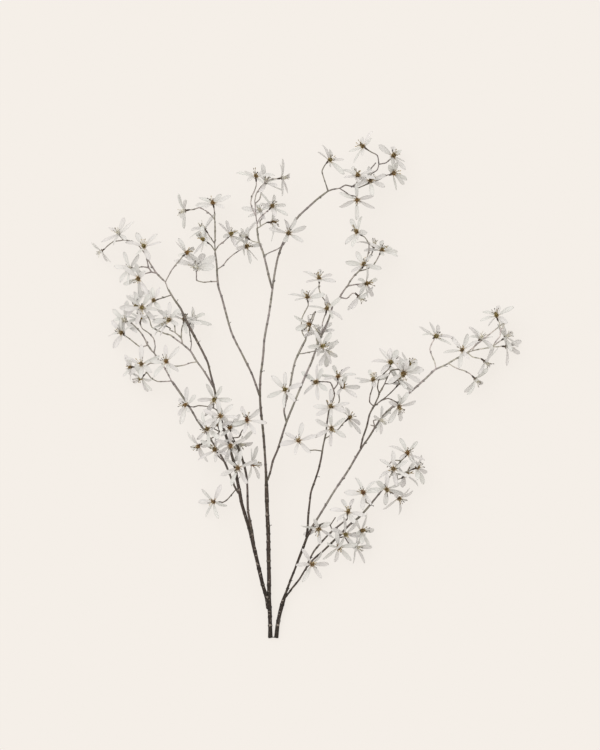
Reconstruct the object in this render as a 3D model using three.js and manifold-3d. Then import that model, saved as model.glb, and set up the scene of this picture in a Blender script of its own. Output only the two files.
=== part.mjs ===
// A cut branch in blossom, lying on a flat surface. Millimetres, +Z up.
// X runs across the branch, Y from the sawn end towards the tips, Z up from the surface.
// The wood is a set of tapering limbs. The last twigs, with their stalks and blossoms, are sprays.
import * as THREE from 'three';
import { mergeVertices } from 'three/addons/utils/BufferGeometryUtils.js';
import Module from 'manifold-3d';

const wasm = await Module();
wasm.setup();

// ---------- Driving dimensions ----------

const PETALS = 6; // on a blossom
const PETAL = { length: 38, width: 9.4, thickness: 1.1 }; // measured halfway along, at the widest
const PETAL_SPREAD = 0.1; // the share by which their lengths vary
const RIM_POINTS = 4; // of a petal: its two widest points with its tip between them, and the notch after them
const NOTCH = 2.6; // distance of the notches between petals from the middle of a blossom
const CROWDED = 0.94; // share of the room beside it that a petal takes where petals stand close
const CALYX = { depth: 9, radius: 1.9 }; // the cone behind a blossom
const STALK_ENDS = [14, 2.5]; // a stalk comes straight to a blossom from this far behind it up to this near
const SMALL = 0.8; // scale of a blossom that is still opening
const WIDE = 1.2; // and of one that is wide open
const CUP = 8; // degrees that petals lean forward of flat
const STALK_RADIUS = 1.15;
const LIMB = { sides: 6, step: 24 }; // faces round a limb, and the distance between its rings
const TWIG = { sides: 4, step: 15 };
const GAP = 0.3; // between neighbours that touch
const REST = 0.2; // the least height of a petal over the surface
const HEEL = { radius: 4.3, depth: 4.5 };
const WOBBLE = 11; // degrees that petals stray from an even star
const LEANS = [0, 10, -10, 20, -20, 30, -30, 40, -40, 52]; // degrees that petals lean and swing
const SWINGS = [0, 8, -8, 16, -16]; // out of each other's way
const SEED = 7;

// ---------- Limbs: centre lines from root to tip, as [x, y, z, radius] ----------

const LIMBS = {
  centre_limb: [
    [0.5, 3, 4.4, 4.1], [-0.3, 45, 9, 4.1], [-2, 82, 14, 4.1], [-2, 122, 20, 4], [-3, 165, 26, 4],
    [-3.5, 210, 32, 4], [-5.6, 253, 38, 3.8], [-7, 300, 44, 4.1], [-8, 330, 48, 2.4], [-11, 380, 53, 2.4],
    [-14, 418, 58, 2.4], [-19, 464, 63, 2.4], [-20, 488, 66, 2.3], [-19, 525, 70, 2.2], [-14, 562, 74, 2.2],
    [-11, 602, 77, 2.2], [-3.4, 642, 80, 2.1], [3, 685, 83, 2], [5, 701, 84, 2], [10, 735, 86, 2],
    [15, 760, 87, 2], [22, 782, 88, 2.1], [30, 799, 88, 2.3], [38, 816, 87, 2.2], [45, 829, 86, 2.2],
    [57, 845, 83, 2], [75, 862, 80, 2], [95, 880, 75, 1.9], [112, 893, 71, 1.8],
  ],
  outer_limb: [
    [12.5, 3, 4.4, 4], [15.5, 30, 6, 3.9], [18.5, 45, 7.5, 4], [22.5, 64, 10, 4.1], [28, 79, 12.6, 3.9],
    [31.5, 90, 14.6, 2.7], [36, 104, 17, 2.3], [49, 137, 22, 2.1], [58, 161, 27, 2.5], [67, 184, 32, 2.6],
    [73, 201, 36, 2.7],
    [80, 215, 39, 2.3], [87, 228, 42, 2.4], [97, 244, 46, 2.1], [107, 260, 48, 2.1], [128, 295, 54, 2],
    [140, 313, 57, 2.1], [154, 333, 60, 2.1], [168, 357, 64, 2], [180, 378, 66, 2], [195, 399, 69, 1.8],
    [207, 418, 71, 1.9], [219, 438, 72, 2.1], [238, 458, 72, 2.2], [252, 470, 72, 2.1], [270, 485, 72, 2],
    [285, 498, 71, 2], [297, 508, 70, 2], [320, 529, 66, 1.9], [332, 540, 64, 1.8], [357, 551, 58, 1.6],
    [376, 563, 54, 1.6], [392, 571, 50, 1.6],
  ],
  left_limb: [
    [-3, 62, 12, 3.6], [-8, 80, 17, 3.8], [-13, 100, 21, 3.8], [-18, 122, 25, 3.8], [-25, 152, 30, 3.8],
    [-31, 178, 34, 3.8], [-38, 205, 38, 3.2], [-43, 225, 41, 3.2], [-49, 245, 44, 3.3], [-56, 268, 48, 3.4],
    [-61, 295, 52, 3.4], [-66, 320, 56, 3.2], [-70, 345, 60, 2.9], [-76, 366, 63, 2.8], [-86, 400, 68, 2.7],
    [-95, 430, 72, 2.5], [-104, 465, 75, 2.4], [-109, 490, 77, 2.3], [-114, 512, 78, 2.1],
    [-121, 538, 79, 2], [-127, 561, 79, 2.1], [-138, 580, 79, 2.2], [-149, 602, 78, 2.4],
    [-160, 622, 77, 2.5], [-172, 645, 75, 2.8], [-181, 666, 72, 1.8], [-189, 677, 70, 1.9],
    [-199, 687, 68, 1.9], [-204, 700, 65, 1.8],
  ],
  left_twin_limb: [
    [-29, 168, 34, 2.4], [-33, 195, 45, 2.6], [-38, 226, 49, 2.6], [-43.5, 250, 52, 2.5], [-45, 285, 56, 2.1],
    [-46, 318, 60, 2.2], [-51, 345, 64, 2.4], [-57, 365, 67, 2.4], [-66, 388, 72, 2.3],
  ],
  low_left_limb: [
    [-60, 286, 51, 1.9], [-69, 300, 49, 2.1], [-75, 316, 48, 2], [-81, 330, 48, 2], [-87, 345, 48, 2.3],
    [-93, 358, 47, 2.2], [-113, 390, 43, 1.9], [-135, 423, 40, 1.9], [-143, 433, 39, 2],
    [-160, 462, 36, 1.8], [-178, 489, 34, 2.3], [-197, 516, 31, 2.1],
  ],
  second_left_limb: [
    [-112, 502, 78, 1.9], [-119, 514, 84, 2.1], [-129, 532, 84, 1.8], [-145, 553, 82, 1.8],
    [-159, 576, 80, 1.8], [-175, 590, 78, 1.7],
  ],
  centre_left_limb: [
    [-20, 484, 66, 2], [-26, 502, 67, 2], [-34, 525, 67, 2], [-49, 556, 66, 2], [-61, 580, 65, 1.9],
    [-74, 605, 64, 1.9], [-82, 629, 62, 2], [-95, 678, 58, 2], [-100, 695, 56, 2], [-106, 714, 54, 2],
    [-105, 739, 51, 1.9], [-108, 757, 49, 1.8], [-110, 774, 48, 1.8],
  ],
  top_left_limb: [
    [5, 699, 84, 1.9], [0, 715, 88, 2.1], [-4, 735, 90, 2.1], [-7.5, 748, 91, 2.2], [-11.6, 767, 92, 1.9],
    [-20, 787, 92, 1.9], [-24, 803, 91, 1.8], [-26, 822, 89, 1.8],
  ],
  right_of_centre_limb: [
    [-6.8, 312, 46, 2], [-1, 328, 51, 2], [6.4, 358, 56, 2.1], [16.6, 382, 60, 2.1], [25, 410, 64, 2],
    [33, 434, 67, 2.1], [49.6, 475, 72, 2], [62.4, 506, 75, 2], [74, 534, 77, 2.1], [88, 566, 78, 2],
    [94, 587, 78, 1.9], [103, 606, 78, 1.8], [110, 622, 77, 2.2], [118, 641, 76, 1.9], [122, 655, 74, 2],
    [125, 666, 73, 2],
  ],
  side_limb: [
    [33, 433, 67, 1.7], [28, 452, 63, 1.9], [30, 470, 62, 1.9], [35, 488, 62, 1.9], [42, 513, 63, 2],
    [46, 540, 65, 1.9], [53, 563, 67, 2], [66, 588, 69, 2.2], [72, 600, 70, 2],
  ],
  inner_limb: [
    [72, 198, 35, 2.4], [75, 215, 40, 2.4], [76, 240, 45, 2.1], [79, 270, 50, 2], [81, 290, 54, 2],
    [91, 320, 61, 1.9], [100, 349, 67, 2], [102.5, 362, 70, 1.9], [103.5, 376, 72, 1.8], [110, 400, 76, 1.6],
    [113, 422, 79, 1.6], [115, 440, 81, 1.6], [118, 460, 83, 1.6],
  ],
  far_limb: [
    [180, 377, 66, 1.8], [185, 400, 72, 1.9], [191, 418, 75, 1.8], [195, 430, 77, 1.8], [198, 445, 79, 1.8],
    [203, 460, 81, 1.8], [211, 472, 83, 1.8],
  ],
  low_right_limb: [
    [29, 80, 12.5, 2], [38, 93, 9.5, 2], [50, 107, 8.5, 1.9], [64, 126, 8.5, 1.8], [76, 147, 9, 1.8],
    [84, 156, 9.5, 1.9], [103, 172, 11, 1.9], [118, 187, 13, 2], [126, 194, 14, 2.1], [137, 205, 16, 2],
    [155, 224, 19, 2.1], [176, 241, 23, 2.2], [194, 260, 28, 2.2], [201, 270, 30, 1.8], [213, 283, 32, 1.8],
    [228, 303, 35, 1.8], [237, 320, 37, 1.7],
  ],
  low_right_twin_limb: [
    [70, 134, 8.5, 1.8], [76, 151, 16, 1.8], [81, 163, 20, 1.8], [88, 175, 24, 1.8], [100, 190, 28, 1.8],
    [111, 201, 31, 1.8], [124, 216, 35, 1.8], [135, 224, 38, 1.8], [145, 232, 40, 1.8], [155, 240, 42, 1.8],
  ],
};

// ---------- Sprays ----------
// A twig's points are [x, y, z] or [x, y, z, radius], from its root. The root is only [x, y]: it sits on
// the nearest wood of the limb that bears the spray, or of the spray's own earlier twigs.
// A flower is a twig with a blossom at its last point, which faces the way given by its compass angle
// in the plane of the surface, degrees from +X towards +Y, and its height angle over that plane.
// Its star lists the compass angles that its petals show from above, where they aren't evenly spread.

const twig = (path) => ({ path });
const flower = (path, compass, height, { star = null, size = 1, cup = CUP } = {}) => ({
  path,
  blossom: { compass, height, star, size, cup },
});

const SPRAYS = {
  left_tip: ['left_limb', [
    twig([[-204, 700], [-210, 713, 62, 1.7], [-226, 731, 57, 1.6], [-241, 753, 50, 1.5],
      [-249, 769, 45, 1.4]]),
    flower([[-210, 713], [-205, 723, 62], [-199, 732, 64], [-194, 743, 66], [-185, 752, 66], [-168, 771, 66]],
      45, 20),
    flower([[-226, 731], [-236, 734, 62], [-246, 735, 64], [-262, 722, 66]], 215, 45,
      { star: [43, 95, 138, 200, 273, 308] }),
    flower([[-236, 734], [-241, 743, 60], [-252, 745, 54], [-279, 742, 48]], 180, 45),
    flower([[-249, 769], [-250, 775, 52], [-252, 784, 60]], 100, 45),
    flower([[-249, 769], [-263, 787, 48], [-272, 795, 50], [-285, 797, 50], [-302, 810, 52]], 120, 35),
    flower([[-285, 797], [-298, 797, 44], [-311, 796, 36], [-323, 790, 31], [-337, 777, 28]], 215, 10,
      { size: SMALL }),
    twig([[-241, 743], [-246, 757, 60], [-248, 766, 62]]),
  ]],
  left_wide: ['left_limb', [
    flower([[-199, 687], [-212, 683, 70], [-225, 679, 70], [-243, 668, 62], [-267, 665, 56]], 120, 40,
      { star: [62, 95, 122, 180, 235, 300] }),
    flower([[-225, 679], [-227, 675, 70], [-232, 677, 86]], 130, 60,
      { star: [64, 98, 126, 153, 302, 240], size: SMALL }),
  ]],
  second_left_tip: ['second_left_limb', [
    twig([[-175, 590], [-189, 600, 76, 1.6], [-203, 610, 73, 1.5], [-214, 612, 70, 1.4], [-237, 624, 64]]),
    flower([[-237, 624], [-240, 636, 62], [-248, 652, 68], [-256, 664, 94]], 275, 60),
    flower([[-175, 590], [-178, 601, 82], [-176, 609, 78], [-177, 619, 72], [-172, 638, 64]], 75, 20),
    flower([[-178, 601], [-184, 603, 84], [-190, 613, 88], [-200, 637, 94]], 150, 45,
      { star: [42, 92, 138, 186, 233, 335] }),
    flower([[-190, 613], [-200, 618, 84], [-211, 628, 76]], 150, 20, { size: SMALL }),
  ]],
  second_left_behind: ['second_left_limb', [
    flower([[-159, 576], [-157, 592, 72], [-160, 607, 54], [-156, 638, 38]], 60, 40,
      { star: [29, 88, 145, 212, 273, 338] }),
  ]],
  second_left_front: ['second_left_limb', [
    flower([[-146, 554], [-160, 552, 86], [-178, 546, 88], [-190, 546, 88], [-206, 554, 94]], 135, 55,
      { star: [90, 49, 318, 285, 228, 176] }),
  ]],
  low_left_tip: ['low_left_limb', [
    twig([[-197, 516], [-219, 555, 28, 1.7], [-233, 571, 27, 1.6], [-244, 588, 26, 1.5], [-255, 607, 25, 1.4],
      [-264, 619, 24, 1.3], [-280, 634, 22]]),
    flower([[-197, 516], [-210, 515, 33], [-225, 515, 36], [-235, 519, 38], [-257, 524, 38]], 230, 25,
      { star: [160, 125, 346, 317, 290, 210] }),
    flower([[-221, 557], [-233, 551, 36], [-239, 553, 40], [-257, 549, 52]], 120, 60),
    flower([[-239, 553], [-250, 546, 36], [-262, 545, 34], [-277, 544, 32]], 190, 20, { size: SMALL }),
    flower([[-244, 588], [-262, 584, 26], [-272, 593, 27], [-296, 611, 27]], 145, 30),
    flower([[-233, 571], [-230, 583, 33], [-232, 597, 38], [-236, 608, 42], [-243, 612, 44], [-260, 638, 44]],
      95, 15),
    flower([[-280, 634], [-284, 634, 24], [-290, 637, 32]], 165, 50,
      { star: [85, 139, 176, 210, 256, 310] }),
  ]],
  cluster_top: ['left_limb', [
    flower([[-102, 457], [-112, 461, 82], [-126, 465, 84], [-140, 467, 82], [-167, 467, 74]], 165, 30),
    flower([[-108, 460], [-101, 450, 90], [-99, 445, 106]],
      90, 75, { star: [355, 42, 100, 160, 208, 275] }),
    flower([[-112, 461], [-113, 478, 74], [-111, 480, 96]], 250, 60, { star: [0, 60, 120, 180, 240, 300] }),
  ]],
  cluster_left: ['left_limb', [
    flower([[-91, 418], [-100, 414, 80], [-109, 416, 84], [-124, 421, 92]], 200, 50),
    flower([[-100, 414], [-102, 417, 86], [-104, 427, 96]], 100, 35, { size: SMALL }),
    flower([[-100, 414], [-112, 404, 70], [-124, 398, 64], [-141, 387, 60]], 215, 20),
  ]],
  cluster_right: ['left_twin_limb', [
    flower([[-66, 387], [-74, 402, 80], [-80, 421, 88]], 95, 40),
    flower([[-74, 402], [-64, 403, 84], [-58, 408, 88], [-56, 417, 88], [-46, 436, 90]], 80, 45,
      { star: [110, 45, 0, 190, 255, 310] }),
    flower([[-66, 387], [-74, 394, 64], [-80, 398, 52], [-62, 390, 52]], 330, 25),
  ]],
  cluster_low: ['low_left_limb', [
    flower([[-91, 353], [-99, 361, 56], [-105, 368, 66], [-109, 377, 78]], 120, 45),
  ]],
  cluster_heart: ['left_limb', [
    flower([[-82, 386], [-84, 392, 78], [-79, 388, 102]], 270, 60, { star: [30, 90, 150, 215, 255, 310] }),
  ]],
  cluster_foot: ['left_limb', [
    flower([[-69, 341], [-68, 346, 74], [-64, 343, 88]], 270, 65, { star: [20, 80, 140, 200, 250, 300] }),
  ]],
  twin_side: ['left_twin_limb', [
    flower([[-52, 350], [-47, 350, 66], [-37, 350, 70]], 0, 20),
  ]],
  low_left_lone: ['low_left_limb', [
    flower([[-69, 299], [-80, 285, 42], [-91, 274, 32], [-112, 274, 20]], 180, 50,
      { star: [75, 133, 180, 236, 286, 343] }),
  ]],
  centre_left_elbow: ['centre_left_limb', [
    flower([[-106, 715], [-116, 715, 54], [-140, 714, 54], [-147, 718, 54], [-148, 742, 54]],
      95, 40, { star: [358, 66, 112, 136, 168, 30], size: WIDE, cup: 16 }),
  ]],
  centre_left_side: ['centre_left_limb', [
    flower([[-105, 739], [-97, 745, 54], [-90, 751, 58], [-82, 763, 62], [-70, 771, 64], [-48, 784, 68]],
      25, 35),
  ]],
  centre_left_tip: ['centre_left_limb', [
    twig([[-110, 774], [-110, 790, 47, 1.7], [-110, 820, 45, 1.6], [-110, 838, 43, 1.5],
      [-111, 852, 42, 1.3]]),
    flower([[-111, 852], [-114, 870, 46]], 105, 35),
    flower([[-110, 838], [-118, 848, 46], [-129, 857, 48], [-137, 863, 48], [-170, 857, 44]], 187, 8),
    flower([[-110, 776], [-106, 783, 54], [-99, 791, 58], [-80, 808, 62]], 50, 25),
    flower([[-110, 776], [-116, 782, 54], [-131, 797, 60]], 155, 25,
      { star: [15, 95, 135, 228, 262, 292] }),
    flower([[-110, 790], [-115, 797, 42], [-131, 820, 36]], 125, 10),
  ]],
  top_left_behind: ['top_left_limb', [
    flower([[-22, 792], [-31, 795, 88], [-47, 804, 80]], 140, -10),
  ]],
  top_left_crossing: ['top_left_limb', [
    flower([[-11.6, 767], [0, 773, 97], [12, 778, 98], [22, 783, 98], [37, 810, 99]], 75, 50,
      { star: [328, 20, 65, 105, 165, 243] }),
  ]],
  top_left_tip: ['top_left_limb', [
    twig([[-25, 812], [-26, 827, 88, 1.6], [-28, 845, 87, 1.6]]),
    flower([[-26, 829], [-22, 839, 93], [-16, 846, 96], [3, 864, 98]], 45, 30),
    flower([[-26, 820], [-20, 825, 85], [-11, 831, 83], [3, 833, 83]], 0, 0),
    flower([[-20, 825, 85], [-20, 836, 74], [-19, 855, 64]], 110, 30),
    flower([[-28, 845], [-35, 860, 90], [-39, 877, 90], [-33, 891, 86], [-28, 923, 80]], 95, 25),
    flower([[-28, 845], [-30, 870, 82], [-30, 884, 79], [-24, 896, 77], [-6, 917, 74], [24, 922, 72]], 5, 15),
    flower([[-30, 870], [-22, 874, 76], [-20, 886, 74], [-9, 912, 70]], 65, 10),
  ]],
  top_right: ['centre_limb', [
    twig([[112, 893], [118, 897, 70, 1.7], [138, 902, 66, 1.5], [157, 909, 62, 1.4], [164, 905, 60]]),
    flower([[116, 896], [110, 915, 72], [104, 935, 72], [107, 945, 72], [118, 956, 74]], 50, 30),
    flower([[138, 902], [148, 896, 64], [156, 889, 62], [174, 879, 68]],
      280, 65, { star: [92, 161, 200, 268, 335, 17] }),
    flower([[164, 905], [175, 925, 68]], 85, 30),
    flower([[164, 905], [176, 902, 58], [200, 916, 64]], 45, 50),
    flower([[176, 902], [192, 909, 54], [216, 918, 52], [245, 931, 50]], 15, 25,
      { star: [286, 312, 60, 97, 130, 330] }),
    flower([[164, 905], [178, 911, 52], [190, 922, 50], [198, 928, 50], [215, 939, 48],
      [218, 949, 48], [217, 965, 50],
      [208, 971, 52], [188, 984, 54]], 145, 25),
    flower([[218, 949], [226, 950, 44], [246, 965, 42]], 45, 25, { star: [85, 133, 268, 322, 345, 40] }),
    twig([[194, 925], [203, 943, 44], [212, 953, 42]]),
  ]],
  right_of_centre_tip: ['right_of_centre_limb', [
    twig([[125, 666], [139, 684, 69, 1.7], [154, 706, 64, 1.6], [167, 725, 60, 1.5], [178, 736, 57, 1.3]]),
    flower([[125, 666], [113, 674, 76], [103, 686, 78], [98, 697, 78], [98, 719, 80]], 90, 25),
    flower([[139, 683], [153, 681, 70], [161, 685, 68], [177, 685, 66]], 320, -10),
    flower([[154, 706], [165, 708, 68], [191, 711, 72]], 5, 25, { star: [24, 90, 150, 200, 265, 308] }),
    flower([[178, 736], [187, 748, 64]], 70, 45),
    flower([[178, 736], [186, 746, 46], [193, 760, 46], [197, 772, 48], [198, 790, 48], [176, 813, 52]],
      150, 25, { star: [67, 10, 282, 245, 218, 110] }),
    flower([[193, 760], [200, 768, 42], [208, 785, 40]], 80, 10),
    flower([[178, 736], [190, 739, 52], [202, 742, 50], [209, 752, 48], [223, 776, 50]], 65, 30),
  ]],
  right_of_centre_side: ['right_of_centre_limb', [
    flower([[103, 605], [104, 613, 85], [105, 632, 90], [113, 659, 98]], 75, 40,
      { star: [35, 92, 168, 212, 300, 333] }),
    flower([[104, 611, 83], [98, 613, 80], [92, 603, 70], [96, 591, 60], [97, 612, 58]], 100, 10),
    flower([[104, 613, 85], [97, 606, 92], [103, 585, 103]], 20, 45,
      { star: [14, 60, 118, 182, 240, 300] }),
  ]],
  side_crossing: ['side_limb', [
    flower([[57, 570], [66, 571, 74], [75, 573, 84], [90, 576, 88], [113, 576, 86]], 330, 35),
  ]],
  side_tip: ['side_limb', [
    twig([[72, 600], [78, 618, 72, 1.5], [86, 640, 74, 1.3], [91, 655, 75]]),
    flower([[72, 600], [66, 609, 72], [63, 622, 72], [64, 642, 72], [75, 681, 74]], 100, 30),
    flower([[91, 655], [91, 659, 80], [88, 654, 85], [79, 632, 90]], 245, 25,
      { star: [95, 160, 195, 225, 300, 345] }),
  ]],
  side_front: ['side_limb', [
    flower([[32, 477], [35, 480, 72], [30, 498, 90]], 100, 70, { star: [16, 88, 132, 198, 268, 311] }),
  ]],
  inner_left: ['inner_limb', [
    flower([[103.5, 376], [90, 378, 78], [76, 377, 80], [58, 396, 88]],
      120, 60, { star: [17, 82, 148, 195, 260, 317] }),
  ]],
  inner_right: ['inner_limb', [
    flower([[110, 400], [119, 406, 80], [127, 414, 78], [123, 422, 92]],
      270, 65, { star: [35, 95, 153, 208, 268, 331] }),
    flower([[127, 414], [139, 421, 74], [157, 441, 76]], 40, 20),
  ]],
  inner_tip: ['inner_limb', [
    twig([[118, 460], [124, 474, 84, 1.5], [129, 488, 84, 1.4], [127, 498, 83], [121, 513, 81]]),
    flower([[118, 460], [121, 457, 90], [122, 464, 102]], 90, 70, { star: [15, 90, 175, 210, 270, 340] }),
    flower([[118, 460], [128, 463, 80], [136, 465, 76], [139, 480, 74], [144, 503, 70]], 60, 30),
    flower([[127, 498], [133, 507, 80], [136, 523, 82]], 90, 35),
    flower([[121, 513], [114, 515, 76], [94, 514, 76]], 180, 50, { star: [60, 88, 145, 225, 273, 320] }),
    twig([[118, 461], [113, 470, 84], [113, 478, 86]]),
  ]],
  far_tip: ['far_limb', [
    twig([[211, 472], [219, 490, 85, 1.7], [229, 512, 87, 1.6], [239, 532, 88, 1.4], [243, 537, 88]]),
    flower([[219, 490], [215, 501, 92], [216, 513, 94], [219, 521, 94], [241, 552, 98]], 80, 50,
      { star: [3, 61, 92, 129, 174, 228] }),
    flower([[243, 537], [252, 539, 80], [276, 548, 76]], 50, 30),
    flower([[243, 537], [254, 541, 90], [267, 533, 100]], 300, 65, { star: [5, 39, 77, 125, 215, 330] }),
    flower([[228, 510], [238, 512, 82], [255, 519, 80]], 40, 0),
  ]],
  far_side: ['far_limb', [
    flower([[203, 460], [209, 466, 90], [222, 477, 88], [243, 481, 84], [257, 466, 92]], 310, 45,
      { star: [20, 55, 97, 155, 236, 280] }),
    flower([[222, 477], [232, 484, 76], [243, 494, 64], [258, 511, 54]], 50, 0),
    flower([[207, 464, 88], [200, 471, 90], [200, 487, 90], [206, 516, 93]], 85, 20),
  ]],
  outer_side: ['outer_limb', [
    flower([[210, 424], [207, 431, 77], [220, 438, 84]], 350, 30, { size: SMALL }),
    twig([[210, 424], [205, 424, 77], [201, 428, 78]]),
  ]],
  outer_hooked: ['outer_limb', [
    flower([[332, 540], [329, 555, 68], [324, 566, 70], [320, 575, 72], [320, 584, 72], [331, 604, 76]],
      60, 40, { star: [0, 75, 112, 150, 178, 328] }),
  ]],
  outer_hanging: ['outer_limb', [
    flower([[357, 551], [370, 543, 54], [380, 539, 48], [388, 537, 42], [411, 520, 34]], 315, 5),
  ]],
  outer_tip: ['outer_limb', [
    twig([[392, 571], [412, 578, 44, 1.3], [428, 581, 40], [444, 584, 36]]),
    flower([[397, 573], [394, 571, 56], [385, 577, 70]], 110, 55, { star: [30, 75, 130, 190, 255, 305] }),
    flower([[405, 576], [410, 587, 48], [420, 600, 50]], 50, 15),
    flower([[398, 573], [403, 566, 42], [412, 561, 38], [430, 555, 34]], 330, 5),
    flower([[444, 584], [452, 595, 40], [461, 607, 44], [462, 614, 46], [454, 645, 52]], 115, 30),
    twig([[462, 614], [466, 622, 42], [468, 632, 38]]),
    flower([[444, 584], [452, 590, 34], [471, 603, 30]], 35, 15),
    flower([[444, 584], [453, 584, 30], [473, 585, 22]], 0, 10),
  ]],
  low_right_front: ['low_right_limb', [
    flower([[79, 150], [82, 149, 16], [84, 149, 34]], 0, 70, { star: [0, 54, 121, 185, 245, 304] }),
  ]],
  low_right_twin_side: ['low_right_twin_limb', [
    flower([[124, 216], [122, 227, 38], [113, 229, 38], [98, 221, 44]], 245, 40),
    twig([[122, 227], [126, 236, 42], [131, 243, 44]]),
  ]],
  low_right_twin_tip: ['low_right_twin_limb', [
    flower([[155, 240], [156, 253, 54]], 85, 40, { star: [66, 116, 166, 214, 306, 357] }),
  ]],
  low_right_upper: ['low_right_limb', [
    flower([[201, 270], [193, 272, 36], [188, 291, 56]], 120, 55, { star: [3, 44, 119, 181, 263, 300] }),
  ]],
  low_right_cluster: ['low_right_limb', [
    flower([[127, 195], [133, 200, 24], [140, 204, 34], [150, 209, 44]], 0, 55),
    flower([[133, 200, 24], [136, 192, 28], [137, 184, 49]], 285, 55,
      { star: [15, 95, 150, 212, 260, 312] }),
    flower([[133, 200, 24], [148, 204, 24], [160, 209, 26], [182, 215, 36]], 15, 35),
    flower([[148, 204, 24], [156, 196, 20], [171, 184, 18]], 345, 10),
  ]],
  low_right_middle: ['low_right_limb', [
    flower([[227, 301], [229, 304, 42], [233, 300, 56]], 300, 60, { star: [28, 85, 141, 193, 268, 340] }),
    flower([[229, 304, 42], [238, 295, 42], [257, 282, 36]], 320, 30,
      { star: [225, 263, 345, 20, 60, 140] }),
  ]],
  low_right_tip: ['low_right_limb', [
    twig([[237, 320], [244, 333, 38, 1.5], [254, 347, 40, 1.4], [262, 356, 41]]),
    flower([[262, 356], [274, 370, 52]], 60, 40),
    flower([[246, 336], [255, 337, 43], [248, 341, 60]], 200, 65, { star: [95, 150, 215, 280, 330, 30] }),
    flower([[244, 333], [254, 330, 34], [266, 331, 34], [293, 342, 36]], 20, 20),
    flower([[254, 330], [253, 322, 28], [270, 327, 24]], 40, -5),
    twig([[262, 356], [250, 358, 46], [241, 354, 46], [234, 343, 44]]),
  ]],
};

// ---------- Solids ----------

const vec = ([x, y, z]) => new THREE.Vector3(x, y, z);

// A solid with the shape of a closed geometry.
function solidOf(geometry) {
  const bare = geometry.clone();
  bare.deleteAttribute('normal');
  bare.deleteAttribute('uv');
  const merged = mergeVertices(bare, 1e-4);
  return new wasm.Manifold(new wasm.Mesh({
    numProp: 3,
    vertProperties: merged.attributes.position.array,
    triVerts: new Uint32Array(merged.index.array),
  }));
}

function geometryOf(solid) {
  const mesh = solid.getMesh();
  const positions = new Float32Array(mesh.numVert * 3);
  for (let i = 0; i < mesh.numVert; i += 1) {
    positions.set(mesh.vertProperties.subarray(i * mesh.numProp, i * mesh.numProp + 3), i * 3);
  }
  const geometry = new THREE.BufferGeometry();
  geometry.setAttribute('position', new THREE.BufferAttribute(positions, 3));
  geometry.setIndex(new THREE.BufferAttribute(mesh.triVerts, 1));
  return geometry;
}

function boxOf(solid) {
  const { min, max } = solid.boundingBox();
  return new THREE.Box3(vec(min), vec(max));
}

// The solids that petals must keep clear of, each with the part that it belongs to.
const placed = [];
function place(solid, part) {
  placed.push({ solid, part, box: boxOf(solid) });
  return solid;
}

// A run of wood: a smooth line through its points, cut into even steps, with the radius at each.
function lineOf(points, { sides, step }) {
  const curve = new THREE.CatmullRomCurve3(points.map(vec), false, 'centripetal');
  const radii = points.map((p) => p[3] ?? STALK_RADIUS);
  const count = Math.max(1, Math.round(curve.getLength() / step));
  const { normals, binormals } = curve.computeFrenetFrames(count);
  const rings = normals.map((normal, i) => {
    const along = curve.getUtoTmapping(i / count) * (radii.length - 1);
    const before = Math.min(Math.floor(along), radii.length - 2);
    const radius = lerp(radii[before], radii[before + 1], along - before);
    return { centre: curve.getPointAt(i / count), normal, binormal: binormals[i], radius };
  });
  return { rings, sides };
}

// A tapering, closed tube: a cylinder whose rings are moved onto the line.
function tube({ rings, sides }, grow = 0) {
  const steps = rings.length - 1;
  const geometry = new THREE.CylinderGeometry(1, 1, steps, sides, steps);
  const at = geometry.attributes.position;
  const point = new THREE.Vector3();
  for (let i = 0; i < at.count; i += 1) {
    const { centre, normal, binormal, radius } = rings[Math.round(at.getY(i) + steps / 2)];
    point.copy(centre);
    point.addScaledVector(binormal, at.getX(i) * (radius + grow));
    point.addScaledVector(normal, at.getZ(i) * (radius + grow));
    at.setXYZ(i, point.x, point.y, point.z);
  }
  return solidOf(geometry);
}

// The point of the lines that is nearest to a root, in space or, without a height, as seen from above.
function nearestWood(lines, [x, y, z]) {
  const flat = z === undefined;
  const root = new THREE.Vector3(x, y, flat ? 0 : z);
  const best = { away: Infinity, point: new THREE.Vector3() };
  for (const { rings } of lines) {
    for (let i = 1; i < rings.length; i += 1) {
      const ends = [rings[i - 1].centre, rings[i].centre];
      const [start, end] = ends.map((p) => new THREE.Vector3(p.x, p.y, flat ? 0 : p.z));
      const share = new THREE.Line3(start, end).closestPointToPointParameter(root, true);
      const away = start.lerp(end, share).distanceTo(root);
      if (away < best.away) {
        best.away = away;
        best.point.lerpVectors(ends[0], ends[1], share);
      }
    }
  }
  return best.point;
}

// Both stems grow from one heel: two round ends with the wood between them.
function heelSolid(grow = 0) {
  const [a, b] = [LIMBS.centre_limb[0][0], LIMBS.outer_limb[0][0]];
  const { radius, depth } = HEEL;
  const outline = new THREE.Shape();
  outline.absarc(b, radius, radius + grow, -Math.PI / 2, Math.PI / 2, false);
  outline.absarc(a, radius, radius + grow, Math.PI / 2, 3 * Math.PI / 2, false);
  const reach = depth + grow;
  const block = new THREE.ExtrudeGeometry(outline, { depth: reach, bevelEnabled: false, curveSegments: 6 });
  block.rotateX(Math.PI / 2);
  block.translate(0, reach, 0);
  return solidOf(block);
}

// Each limb ends against the wood that bears it, which comes before it in the list.
function woodSolids() {
  const lines = {};
  const solids = { heel: heelSolid() };
  const grown = { heel: heelSolid(GAP) };
  for (const [name, points] of Object.entries(LIMBS)) {
    lines[name] = lineOf(points, LIMB);
    let solid = tube(lines[name]);
    for (const other of Object.values(grown)) solid = solid.subtract(other);
    solids[name] = largest(solid);
    grown[name] = tube(lines[name], GAP);
  }
  return { lines, solids, grown };
}

function largest(solid) {
  return solid.decompose().sort((a, b) => b.volume() - a.volume())[0];
}

// ---------- Blossoms ----------

const { degToRad, euclideanModulo, lerp, seededRandom } = THREE.MathUtils;
seededRandom(SEED);
const stray = (most) => lerp(-most, most, seededRandom());

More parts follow.
